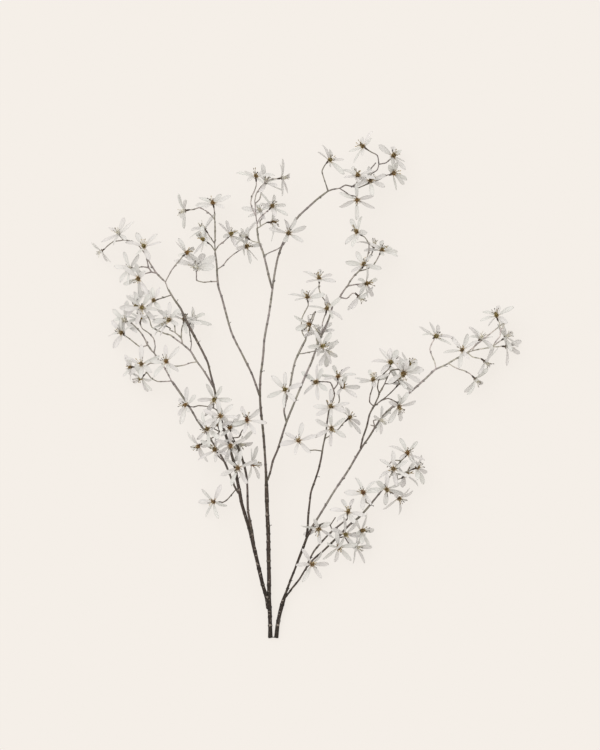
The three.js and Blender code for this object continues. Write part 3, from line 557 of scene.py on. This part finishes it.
def planted(spots):
    """A mesh of points. Each spot has a place, a turn, a scale, the number of its shape and a tint."""
    mesh = bpy.data.meshes.new("spots")
    mesh.from_pydata([tuple(s["place"] * MM) for s in spots], [], [])
    for layer in ("turn", "scale", "tint"):
        hold(mesh, layer, np.array([list(s[layer])[:3] for s in spots], float).ravel())
    hold(mesh, "which", [s["which"] for s in spots], "INT")
    return mesh


def turn_of(x, z):
    """The turn with these X and Z."""
    return Matrix(np.column_stack([x, np.cross(z, x), z]).tolist()).to_euler()


def turned(along, side):
    """The turn that points X along and Y to the side."""
    x = unit(along)
    return turn_of(x, unit(np.cross(x, side)))


def facing(front, angle):
    """The turn that points Z to the front, turned about it by an angle."""
    z = unit(front)
    x = unit(np.cross((0.31, 0.95, 0.05), z))
    return turn_of(x * cos(angle) + np.cross(z, x) * sin(angle), z)


def petal(number):
    """A thin closed shell along X, narrow at its foot and round at its tip, curved in its own way."""
    draw = random.Random(100 + number).uniform
    arch, curl = draw(-1.2, 3.2), draw(-4.5, 2.5)
    cup, twist = draw(0.2, 2.0), draw(-0.9, 0.9)
    sweep, ruffle, phase = draw(-2.2, 2.2), draw(0.2, 0.9), draw(0, 6)
    width = PETAL_HALF_WIDTH * draw(0.86, 1.14)
    corners, pairs, faces = [], [], []

    def place(u, v, skin):
        """A corner at a share of the length and of the half width, this far from the middle of the skin."""
        wide = np.interp(u, *PETAL_OUTLINE) * width
        y = v * wide + sweep * sin(pi * u) * u
        z = arch * sin(pi * u) + curl * u ** 2 * (1 - u) * 2
        z += cup * v * v * wide / width + ruffle * v * sin(5 * u + phase) * u
        z += skin * (1 - v * v) * (0.35 + 0.65 * wide / width)
        c, s = cos(twist * u), sin(twist * u)
        return (1 + u * (PETAL_LENGTH - 1), y * c - z * s, y * s + z * c)

    around = [(v, 1) for v in PETAL_ACROSS] + [(v, -1) for v in PETAL_ACROSS[-2:0:-1]]
    for u in PETAL_OUTLINE[0][:-1]:
        for v, face in around:
            corners.append(place(u, v, face * PETAL_SKIN / 2))
            pairs.append(((v + 1) / 2, u))
    corners.append(place(1, 0, 0))
    pairs.append((0.5, 1))
    n = len(around)
    last = (len(PETAL_OUTLINE[0]) - 2) * n
    for row in range(0, last, n):
        for i in range(n):
            a, b = row + i, row + (i + 1) % n
            faces.append((a, a + n, b + n, b))
    faces += [(last + i, len(corners) - 1, last + (i + 1) % n) for i in range(n)]
    faces.append(tuple(range(n)))
    return mesh_of("petal", corners, faces, {"petal": pairs})


def sleeve(first, rings, sides):
    """The faces between rings of corners, and the two at its ends."""
    faces = []
    for ring in range(first, first + (rings - 1) * sides, sides):
        for i in range(sides):
            a, b = ring + i, ring + (i + 1) % sides
            faces.append((a, b, b + sides, a + sides))
    last = first + (rings - 1) * sides
    return faces + [tuple(range(first + sides - 1, first - 1, -1)), tuple(range(last, last + sides))]


def tubes(parts):
    """A mesh of closed tubes. Each part is a line, its sides and where round it they start.

    A line's rows are x, y, z, radius and how far along the shape it is, which the UV map keeps."""
    corners, faces, pairs = [], [], []
    for line, sides, start in parts:
        faces += sleeve(len(corners), len(line), sides)
        for k, row in enumerate(line):
            before, after = line[max(k - 1, 0)][:3], line[min(k + 1, len(line) - 1)][:3]
            way = unit(np.subtract(after, before))
            side = unit(np.cross(way, (0.2, 0.97, 0.1)))
            over = np.cross(way, side)
            for i in range(sides):
                angle = tau * (i + start) / sides
                corners.append(row[:3] + (side * cos(angle) + over * sin(angle)) * row[3])
                pairs.append((row[4], i / sides))
    return mesh_of("tubes", corners, faces, {"thread": pairs})


def stamen(number):
    """A thread that bends outwards from the heart, with its anther. Z is the blossom's front."""
    draw = random.Random(200 + number).uniform
    out, rise, bend = draw(2.6, 7.6), draw(9.5, 15.5), draw(1.2, 2.4)
    thread = [(1.4 + out * t ** bend, 0.6 * sin(5 * t), 1 + rise * t, 0.45 - 0.1 * t, t * 0.8)
              for t in (0, 0.35, 0.7, 1)]
    tip = np.array(thread[-1][:3])
    lean = unit(tip - thread[-2][:3] + (0, draw(-1.5, 1.5), draw(-1.5, 1)))
    anther = [tuple(tip + lean * d) + (r, 0.9 + 0.02 * d)
              for d, r in ((-1.1, 0.35), (-0.4, 0.75), (1.2, 0.8), (2.2, 0.25))]
    return tubes([(thread, 3, 0), (anther, 4, 0)])


def spoke(angle, rows):
    """A line that stands out at an angle, from rows of reach, height, radius and share along it."""
    c, s = cos(angle), sin(angle)
    return [(out * c, out * s, z, r, t) for out, z, r, t in rows]


def heart(number):
    """The cone in a blossom's middle, with two rings of blunt fingers that stand out from it."""
    rng = random.Random(300 + number)
    tall = rng.uniform(0.85, 1.15)
    cone = [(-0.6, 1.9, 0), (1.6, 2.9, 0.15), (4.6, 2.8, 0.3), (7.6, 1.8, 0.4), (9.4, 0.7, 0.5)]
    parts = [([(0, 0, z * tall, r, t) for z, r, t in cone], 7, 0)]
    for count, out, low, high in ((9, 4.3, 0.6, 4.4), (6, 3.2, 3.4, 8.0)):
        for i in range(count):
            angle = tau * (i + rng.uniform(-0.3, 0.3)) / count
            reach, rise = out * rng.uniform(0.82, 1.18), high * tall * rng.uniform(0.85, 1.15)
            finger = spoke(angle, [(1.4, low, 0.8, 0.3), (reach * 0.8, low + (rise - low) * 0.5, 0.95, 0.6),
                                   (reach, rise, 0.5, 1)])
            parts.append((finger, 4, rng.random()))
    return tubes(parts)


def calyx(number):
    """The dark cup behind a blossom, where its stalk swells, with five pointed sepals. Z is its front."""
    draw = random.Random(400 + number).uniform
    cup = [(-10.5, 0.95, 0), (-8.5, 1.5, 0.15), (-6, 1.95, 0.3), (-3, 1.9, 0.5), (-1.2, 2.5, 0.7),
           (0.1, 1.4, 0.8)]
    parts = [([(0, 0, z, r, t) for z, r, t in cup], 8, 0)]
    for i in range(5):
        angle = tau * (i + draw(-0.1, 0.1)) / 5
        reach, drop = draw(4.6, 6.2), draw(-1.8, -0.6)
        parts.append((spoke(angle, [(1.6, -1.5, 1.0, 0.7), (reach * 0.6, -0.9, 0.75, 0.85),
                                    (reach, drop, 0.12, 1)]), 4, 0.5))
    return tubes(parts)


def bud(number):
    """A pointed bud that lies against the wood. X is along the wood, Z away from it."""
    long = random.Random(500 + number).uniform(2.6, 3.8)
    line = [(-0.6, 0, -0.2, 0.5, 0), (0.3, 0, 0.4, 0.95, 0.3), (long * 0.55, 0, 0.9, 0.8, 0.6),
            (long, 0, 1.3, 0.15, 1)]
    return tubes([(line, 5, 0)])


def spur(number):
    """A short crooked side shoot that ends in a bud or two. X is along the wood, Z away from it."""
    draw = random.Random(600 + number).uniform
    bend, long = draw(0.5, 1.5), draw(4.5, 8.0)
    shoot = [(-0.4, 0, -0.6, 1.25, 0), (0.6 * bend, 0, long * 0.16, 0.85, 0.2),
             (1.6 * bend, 0.2, long * 0.4, 0.78, 0.4), (3.2 * bend, -0.3, long * 0.66, 0.72, 0.6),
             (4.4 * bend, 0.1, long, 0.8, 0.8)]
    parts = [(shoot, 6, 0)]
    tip = np.array(shoot[-1][:3])
    for lean in (0.3, -1.1)[:1 + number % 2]:
        way = unit((lean + bend, draw(-0.5, 0.5), 1))
        scales = [tuple(tip + way * d) + (r, 0.8 + 0.06 * d)
                  for d, r in ((-0.5, 0.5), (0.5, 1.05), (1.7, 0.85), (3.0, 0.15))]
        parts.append((scales, 5, 0))
    return tubes(parts)


def shelf(make):
    """A collection, out of the scene, of the shapes of one kind."""
    kind = make.__name__
    collection = bpy.data.collections.new(kind)
    for i in range(KINDS[kind]):
        collection.objects.link(bpy.data.objects.new(f"{kind}_{i:02d}", make(i)))
    return collection


# --- Growers: the Geometry Nodes trees ---

def new_grower(name, inlets):
    """A tree that takes a mesh and the named inputs, and what it is given."""
    tree = bpy.data.node_groups.new(name, "GeometryNodeTree")
    graph = Graph(tree)
    for inlet, kind in {"Geometry": "Geometry", **inlets}.items():
        tree.interface.new_socket(name=inlet, in_out="INPUT", socket_type="NodeSocket" + kind)
    tree.interface.new_socket(name="Geometry", in_out="OUTPUT", socket_type="NodeSocketGeometry")
    return graph, graph.add("NodeGroupInput")


def finished(graph, geometry, material):
    """Ends a tree: everything is made real and takes its material."""
    real = graph.add("GeometryNodeRealizeInstances", {"Geometry": geometry})
    smooth = graph.add("GeometryNodeSetShadeSmooth", {"Geometry": real})
    covered = graph.add("GeometryNodeSetMaterial", {"Geometry": smooth, "Material": material})
    graph.add("NodeGroupOutput", {"Geometry": covered})
    return graph.tree


def planter():
    """Plants one of a collection's shapes on every point."""
    graph, given = new_grower("planter", {"Shapes": "Collection", "Material": "Material"})
    shapes = graph.add("GeometryNodeCollectionInfo", {
        "Collection": given["Shapes"], "Separate Children": True, "Reset Children": True})
    turn = graph.add("FunctionNodeEulerToRotation", {"Euler": graph.named("turn", "FLOAT_VECTOR")})
    plants = graph.add("GeometryNodeInstanceOnPoints", {
        "Points": given["Geometry"], "Instance": shapes, "Pick Instance": True,
        "Instance Index": graph.named("which", "INT"), "Rotation": turn,
        "Scale": graph.named("scale", "FLOAT_VECTOR")})
    return finished(graph, plants, given["Material"])


def sweeper():
    """Sweeps bark along every line, with the radius that the line holds, and roughens it."""
    graph, given = new_grower(
        "sweeper", {"Sides": "Int", "Roughness": "Float", "Grain": "Float", "Material": "Material"})
    line = graph.add("GeometryNodeMeshToCurve", {"Mesh": given["Geometry"]})
    line = graph.stored(line, "run", graph.add("GeometryNodeSplineParameter")["Length"])
    ring = graph.add("GeometryNodeCurvePrimitiveCircle", {"Resolution": given["Sides"], "Radius": 1.0})
    place, normal = graph.add("GeometryNodeInputPosition"), graph.add("GeometryNodeInputNormal")
    ring = graph.stored(ring, "around", place, "FLOAT_VECTOR")
    swept = graph.add("GeometryNodeCurveToMesh", {
        "Curve": line, "Profile Curve": ring, "Scale": graph.named("radius"), "Fill Caps": True})
    # the normal's Z, kept for the bark's painted light on its upper side and painted shade on its sides and
    # underside
    swept = graph.stored(swept, "up", graph.parts(normal)["Z"])
    coarse = graph.noise(given["Grain"], 2.0, 0.5, place)
    push = (coarse - 0.5) * given["Roughness"] * graph.named("radius")
    rough = graph.add("GeometryNodeSetPosition", {"Geometry": swept, "Offset": normal * push})
    return finished(graph, rough, given["Material"])


def grow(name, base, tree, inputs):
    """Runs a tree on a mesh and gives the plain result."""
    piece = in_scene(name, base)
    growth = piece.modifiers.new("growth", "NODES")
    growth.node_group = tree
    for socket in tree.interface.items_tree:
        if socket.name in inputs:
            growth[socket.identifier] = inputs[socket.name]
    state = bpy.context.evaluated_depsgraph_get()
    mesh = bpy.data.meshes.new_from_object(
        piece.evaluated_get(state), preserve_all_data_layers=True, depsgraph=state)
    piece.modifiers.remove(growth)
    mesh.name = name
    piece.data = mesh
    return piece


# --- Finishes ---

def finish(recipe):
    """A new material from the function that draws its graph."""
    material = bpy.data.materials.new(recipe.__name__)
    material.use_nodes = True
    recipe(Graph(material.node_tree))
    return material


def surface(graph, colour, roughness, **more):
    """Ends a material that is one plain shader."""
    shader = graph.add("ShaderNodeBsdfPrincipled", {"Base Color": colour, "Roughness": roughness, **more})
    graph.add("ShaderNodeOutputMaterial", {"Surface": shader})


def bark(graph):
    """Bark in the wood's own colour, fissured lengthways, ringed by pale scars, with pores, and with painted
    light on its upper side and painted shade on its sides and underside.
    """
    around, colour = graph.parts(graph.layer("around")["Vector"]), graph.layer("tint")["Color"]
    run, up = graph.layer("run")["Fac"], graph.layer("up")["Fac"]

    def marks(length, width, detail, roughness=0.55):
        """A pattern that follows the bark: so fine along the wood, and so fine round it."""
        rolled = {0: run * length, 1: around["X"] * width, 2: around["Y"] * width}
        return graph.noise(1.0, detail, roughness, graph.add("ShaderNodeCombineXYZ", rolled))

    moss, patches, grain = graph.noise(24.0, 2.0), graph.noise(110.0), graph.noise(1100.0, 3.0, 0.7)
    fissures = marks(220.0, 3.0, 3.0, 0.6)
    pores = marks(650.0, 2.6, 1.0).step(0.66, 0.72)
    rings = marks(210.0, 0.45, 1.0).step(0.655, 0.7)
    scars = marks(420.0, 0.6, 2.0).step(0.6, 0.7)
    colour = moss.step(0.4, 0.6).blend(
        colour * Vector((0.75, 0.71, 0.74)), colour * Vector((0.71, 0.73, 0.65)))
    colour = patches.step(0.3, 0.7).blend(colour * 0.7, colour * 1.24)
    # painted light on the upper side and painted shade on the sides and underside, from the normal's Z
    colour = up.step(-0.3, 0.95).blend(colour * 0.55, colour * 1.24)
    colour = fissures.step(0.3, 0.62).blend(colour * 0.62, colour * 1.12)
    colour = (scars * 0.5).blend(colour, colour * 0.45)
    colour = (pores * 0.7).blend(colour, colour * 0.6 + paint("756d66"))
    colour = (rings * 0.75).blend(colour, colour * 0.4 + paint("8e867e"))
    colour = grain.step(0.3, 0.72).blend(colour * 0.8, colour * 1.16)
    height = grain * 0.5 + fissures * 0.7 + pores * 0.5 + rings * 0.6 - scars * 0.3
    surface(graph, colour, grain.blend(0.66, 0.95), Normal=graph.bump(0.6, 0.0007, height))


def sawn_wood(graph):
    """The sawn face of the heel: pale wood in rings, with fine cracks."""
    cloud = graph.noise(260.0, 2.0)
    low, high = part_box("heel")
    pith = Vector((low.x + (high.z - low.z) / 2, low.y, (low.z + high.z) / 2))
    away = graph.add("ShaderNodeVectorMath", {0: graph.place(), 1: pith}, operation="DISTANCE")["Value"]
    rings = abs((away * 1500.0 + cloud * 1.6).part() - 0.5).step(0.2, 0.5)
    colour = rings.blend(paint("a58c68"), paint("7b6244"))
    colour = cloud.step(0.35, 0.7).blend(colour * 0.8, colour * 1.15)
    surface(graph, colour, cloud.blend(0.7, 0.95), Normal=graph.bump(0.4, 0.0003, rings + cloud))


def petal_silk(graph):
    """Thin silk petals of a soft grey white, with painted shade at the foot, veined lengthways, with light
    coming through.

    A petal's tint holds how light it is, which of two whites it is, and how warm its foot is."""
    spread, tones = graph.unrolled("petal"), graph.parts(graph.layer("tint")["Vector"])
    across, along = spread["X"], spread["Y"]
    cloud = graph.noise(170.0)
    veins = abs(((across + (cloud - 0.5) * 0.06) * 9.0).part() - 0.5).step(0.2, 0.5)
    middle = 1 - abs(across - 0.5).step(0.02, 0.12)
    foot = 1 - along.step(0.04, 0.24)
    colour = tones["Y"].blend(paint("ecefeb"), paint("eeeded"))
    colour = tones["X"].blend(colour * 0.92, colour * 1.05)
    colour = (cloud.step(0.3, 0.7) * 0.3).blend(colour, paint("f6f6f6"))
    colour = (veins * 0.34).blend(colour, colour * 0.8)
    colour = (middle * 0.2).blend(colour, paint("fafaf8"))
    # painted shade of the heart and stamens towards the petal's foot, and a little lighter towards the tip
    colour = along.step(0.12, 0.8).blend(
        colour * Vector((0.9, 0.89, 0.885)), colour * Vector((1.0, 0.99, 0.995)))
    colour = (foot * tones["Z"]).blend(colour, colour * Vector((0.72, 0.52, 0.24)))
    bump = graph.bump(0.3, 0.0004, veins + cloud * 0.6)
    skin = graph.add("ShaderNodeBsdfPrincipled", {
        "Base Color": colour, "Roughness": veins.blend(0.5, 0.62), "Specular IOR Level": 0.3, "Normal": bump})
    glow = graph.add("ShaderNodeBsdfTranslucent", {"Color": PETAL_LIGHT, "Normal": bump})
    mixed = graph.add("ShaderNodeMixShader", {0: PETAL_GLOW, 1: skin, 2: glow})
    graph.add("ShaderNodeOutputMaterial", {"Surface": mixed})


def heart_velvet(graph):
    """Cone and fingers in the blossom's own colour, with painted shade low inside and painted light higher
    up, and golden at the tips unless it is pale.
    """
    along, tint = graph.unrolled("thread")["X"], graph.layer("tint")["Color"]
    fluff = graph.noise(1400.0, 2.0, 0.7)
    pale = graph.parts(tint)["Z"].step(0.1, 0.4)
    # painted shade low and inside the heart, and painted light higher up towards the tips
    colour = along.step(0.1, 0.55).blend(tint * 0.55, tint * 1.1)
    colour = (along.step(0.6, 1.0) * 0.75).blend(colour, pale.blend(tint * 0.6 + paint("a3884c"), tint * 1.1))
    colour = fluff.step(0.35, 0.65).blend(colour * 0.65, colour * 1.25)
    surface(graph, colour, fluff.blend(0.6, 0.9), Normal=graph.bump(0.5, 0.0003, fluff))


def thread_wax(graph):
    """Stamens: cream threads that take their own colour towards the anthers."""
    along, tint = graph.unrolled("thread")["X"], graph.layer("tint")["Color"]
    fluff = graph.noise(1600.0, 2.0, 0.7)
    colour = along.step(0.1, 0.85).blend(paint("d8cfa4"), tint)
    colour = fluff.step(0.3, 0.7).blend(colour * 0.75, colour * 1.2)
    surface(graph, colour, fluff.blend(0.5, 0.85))


def calyx_skin(graph):
    """The cup behind a blossom: dark brown at the stalk, reddish and lighter at the sepals' tips."""
    along, mottle = graph.unrolled("thread")["X"], graph.noise(700.0, 3.0, 0.7)
    colour = along.step(0.3, 1.0).blend(paint("40362d"), paint("6e5a45"))
    colour = mottle.step(0.35, 0.7).blend(colour * 0.75, colour * 1.2)
    surface(graph, colour, mottle.blend(0.55, 0.85), Normal=graph.bump(0.4, 0.0003, mottle))


def table_paint(graph):
    """A plain pale paint that glows by what a table of dark paint under the lights lacks."""
    cloud = graph.noise(3.0, 2.0)
    colour = cloud.blend(TABLE_PAINT, tuple(c * 0.99 for c in TABLE_PAINT[:3]) + (1,))
    surface(graph, colour, 1.0, **{
        "Specular IOR Level": 0.0, "Emission Color": TABLE_GLOW, "Emission Strength": 1.0})


# --- The pieces ---

finishes = {"bark": finish(bark), "sawn": finish(sawn_wood), "petal": finish(petal_silk),
            "heart": finish(heart_velvet), "stamen": finish(thread_wax), "calyx": finish(calyx_skin)}
finishes["bud"] = finishes["spur"] = finishes["bark"]
shapes = {make.__name__: shelf(make) for make in (petal, stamen, heart, calyx, bud, spur)}
plant, sweep = planter(), sweeper()


def plant_all(name, kind, spots):
    """A piece with a shape of that kind on every spot."""
    return grow(name, planted(spots), plant, {"Shapes": shapes[kind], "Material": finishes[kind]})


def sweep_all(name, grown, wood):
    """A piece with bark along every line of wood."""
    return grow(name, strung([line for line, _ in grown]), sweep, {
        "Sides": wood["sides"], "Roughness": ROUGH_BARK, "Grain": wood["grain"],
        "Material": finishes["bark"]})


def settle(piece):
    """Nothing reaches into the table: what would, comes to lie on it."""
    mesh = piece.data
    spots = np.empty(len(mesh.vertices) * 3, np.float32)
    mesh.vertices.foreach_get("co", spots)
    heights = spots[2::3].astype(float) / MM - CLEAR
    low = heights < 4 * SOFT
    heights[low] = SOFT * np.log1p(np.exp(np.clip(heights[low] / SOFT, -40, 40)))
    spots[2::3] = (heights + CLEAR) * MM
    mesh.vertices.foreach_set("co", spots)
    mesh.update()


def handed_in(piece, node=None):
    """Ends a piece: it lies on the table, hangs from its body, and the CAD node that it replaces is hidden.
    """
    settle(piece)
    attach(piece, "root")
    if node:
        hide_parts(node)


def join(pieces):
    """The first piece, with the others and their materials in it."""
    with bpy.context.temp_override(active_object=pieces[0], selected_editable_objects=pieces):
        bpy.ops.object.join()
    return pieces[0]


def on_wood(wood, row, rng, kind):
    """A bud or a spur on the side of the wood, leaning to its tip."""
    way = unit(wood[row + 1, :3] - wood[row, :3])
    side = unit(np.cross(way, (rng.uniform(-1, 1), rng.uniform(-1, 1), rng.uniform(-0.2, 1))))
    size = rng.uniform(*SHOOT_SIZES[kind])
    return {"place": wood[row, :3] + side * wood[row, 3] * 0.85, "turn": turned(way, np.cross(side, way)),
            "scale": (size,) * 3, "which": rng.randrange(KINDS[kind]), "tint": wood[row, 4:7] * 1.2}


def with_shoots(piece, grown, rng, shares):
    """The piece with buds and spurs on the knots of its wood."""
    buds, spurs = shares
    spots = {"bud": [], "spur": []}
    for line, knots in grown:
        for knot in knots:
            pick = rng.random()
            if pick < spurs + buds:
                kind = "spur" if pick < spurs else "bud"
                spots[kind].append(on_wood(line, knot, rng, kind))
    parts = [piece] + [plant_all(kind + "s", kind, spots[kind]) for kind in spots if spots[kind]]
    return join(parts) if len(parts) > 1 else piece


def add_limb(name, line, others, rng):
    """A limb's bark, drawn on into the limb that it grows from."""
    grown = [grown_wood(rooted(line, others) if others else line, name, rng, LIMB_WOOD, True)]
    piece = sweep_all("bark_" + name, grown, LIMB_WOOD)
    thick = grown[0][0][:, 3].mean() > THICK_LIMB
    piece = with_shoots(piece, grown, rng, SHOOTS["thick" if thick else "thin"])
    handed_in(piece, name)


def add_petals(b, warmth, rng, spots):
    """Spots for a blossom's petals, each along its CAD petal and rolled a little its own way."""
    for ray, side in b["petals"]:
        wide = b["size"] * rng.uniform(*PETAL_WIDE)
        lift = b["front"] * rng.uniform(*PETAL_LIFT)
        side = side + np.cross(unit(ray), side) * tan(rng.uniform(-PETAL_ROLL, PETAL_ROLL))
        level = np.cross(unit(ray), (0, 0, 1))
        side = side + level * copysign(PETAL_LEVEL, level @ side)
        spots["petal"].append({
            "place": b["centre"] + lift, "turn": turned(ray - lift, side),
            "scale": (norm(ray) / PETAL_LENGTH, wide, b["size"]), "which": rng.randrange(KINDS["petal"]),
            "tint": (rng.random(), rng.random(), warmth * rng.uniform(0.6, 1))})


def add_middle(b, letter, rng, spots):
    """Spots for a blossom's heart, calyx and stamens."""
    turn, size = rng.uniform(0, 6.3), b["size"]
    middle = {"place": b["centre"], "turn": facing(b["front"], turn), "scale": (size,) * 3}
    for kind, tint in (("heart", paint(HEART_COLOURS[letter])), ("calyx", (0, 0, 0))):
        spots[kind].append({**middle, "which": rng.randrange(KINDS[kind]), "tint": tint})
    count = rng.randint(*STAMENS)
    for i in range(count):
        stretch = size * rng.uniform(*STAMEN_LONG)
        spots["stamen"].append({
            "place": b["centre"], "scale": (stretch,) * 3, "which": rng.randrange(KINDS["stamen"]),
            "turn": facing(b["front"], turn + tau * (i + rng.uniform(-0.5, 0.5)) / count),
            "tint": paint(rng.choice(PALE_ANTHERS if letter in PALE_HEARTS else ANTHERS))})


def add_spray(node, rng):
    """A spray's petals, its hearts with their stamens, and its twigs with their calyces."""
    blossoms, lines, limb = read_spray(node)
    name = node[len("spray_"):]
    spots = {kind: [] for kind in KINDS}
    for b, letter in zip(blossoms, HEARTS.get(name, "b" * len(blossoms)), strict=True):
        add_petals(b, 0 if letter in PALE_HEARTS else 1, rng, spots)
        add_middle(b, letter, rng, spots)
    petals = plant_all("petals_" + name, "petal", spots["petal"])
    hearts = join([plant_all("hearts_" + name, "heart", spots["heart"]),
                   plant_all("threads", "stamen", spots["stamen"])])
    grown = [grown_wood(line, limb, rng, TWIG_WOOD, i == 0) for i, line in enumerate(lines)]
    if name not in DARK_TWIGS:
        for line, _ in grown:
            line[:, 4:7] *= TWIG_PALE
    twigs = join([sweep_all("twigs_" + name, grown, TWIG_WOOD),
                  plant_all("calyces", "calyx", spots["calyx"])])
    twigs = with_shoots(twigs, grown, rng, SHOOTS["twig"])
    handed_in(petals, node)
    handed_in(hearts)
    handed_in(twigs)


def add_heel():
    """The heel that both stems grow from: two lobes with bark round them, and a sawn face."""
    low, high = (np.array(corner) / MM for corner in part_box("heel"))
    middle, half = (low + high) / 2, (high - low) / 2
    inner = half[0] - half[2]  # from the middle to a lobe's own middle
    corners = []
    for depth, share in HEEL_SECTION:
        for i in range(HEEL_SIDES):
            angle = tau * i / HEEL_SIDES
            x = half[0] * cos(angle)
            lobe = half[2] * sqrt(max(0, 1 - ((abs(x) - inner) / half[2]) ** 2))
            between = exp(-(x / inner) ** 2)
            z = copysign(max(lobe, 0 if abs(x) > inner else half[2]) * (1 - HEEL_WAIST * between), sin(angle))
            rough = 1 - 0.03 * (1 + sin(7 * angle + depth * 9))
            corners.append((middle[0] + x * share * rough,
                            middle[1] + (2 * depth - 1) * half[1] * (1 - HEEL_NOTCH * between),
                            middle[2] + z * share * rough))
    mesh = mesh_of("heel_wood", corners, sleeve(0, len(HEEL_SECTION), HEEL_SIDES))
    hold(mesh, "tint", np.tile(bark_colour("centre_limb", low[None])[0], len(corners)))
    for kind in ("bark", "sawn"):
        mesh.materials.append(finishes[kind])
    sawn = mesh.polygons[-2]
    sawn.material_index = 1
    sawn.use_smooth = False
    handed_in(in_scene("heel_wood", mesh), "heel")


for number, (name, line) in enumerate(limbs.items()):
    others = [other for key, other in limbs.items() if key != name]
    if name in STEMS:
        line = line if line[0][1] < line[-1][1] else line[::-1]
        inside = [line[0][0], CAD_BOX[0].y / MM + STEM_START, *line[0][2:]]
        line, others = np.vstack([inside, line]), []
    add_limb(name, line, others, random.Random(SEED + number))
for number, node in enumerate(sorted(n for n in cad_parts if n.startswith("spray_"))):
    add_spray(node, random.Random(SEED + 100 + number))
add_heel()


# --- Table, light and camera ---

def table():
    """A wide pale table top."""
    mesh = bpy.data.meshes.new("table")
    h = TABLE_HALF
    mesh.from_pydata([(-h, -h, 0), (h, -h, 0), (h, h, 0), (-h, h, 0)], [], [(0, 1, 2, 3)])
    mesh.materials.append(finish(table_paint))
    in_scene("table", mesh)


def studio():
    """Even light from all round, and a soft key light from one side."""
    scene = bpy.context.scene
    scene.view_settings.view_transform = "Standard"
    world = bpy.data.worlds.new("studio")
    world.use_nodes = True
    graph = Graph(world.node_tree)
    sky = graph.add("ShaderNodeBackground", {"Color": STUDIO_AIR, "Strength": 1.0})
    graph.add("ShaderNodeOutputWorld", {"Surface": sky})
    scene.world = world
    lamp = bpy.data.lights.new("soft_key", "SUN")
    lamp.energy = KEY_LIGHT * pi / cos(radians(KEY_TILT))
    lamp.angle = radians(KEY_SPREAD)
    key = in_scene("soft_key", lamp)
    key.rotation_euler = (radians(-KEY_TILT * 0.7),) * 2 + (0,)


def camera():
    """Straight over the branch, and far off with a long lens."""
    low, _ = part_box("heel")
    lens = bpy.data.cameras.new("camera")
    lens.lens, lens.sensor_width, lens.clip_end = LENS, SENSOR, VIEW_END
    viewer = in_scene("camera", lens)
    distance = VIEW_LENGTH * LENS / SENSOR
    viewer.location = (low.x + VIEW_MIDDLE[0], low.y + VIEW_MIDDLE[1], CAD_BOX[1].z / 2 + distance)
    bpy.context.scene.camera = viewer


table()
studio()
camera()
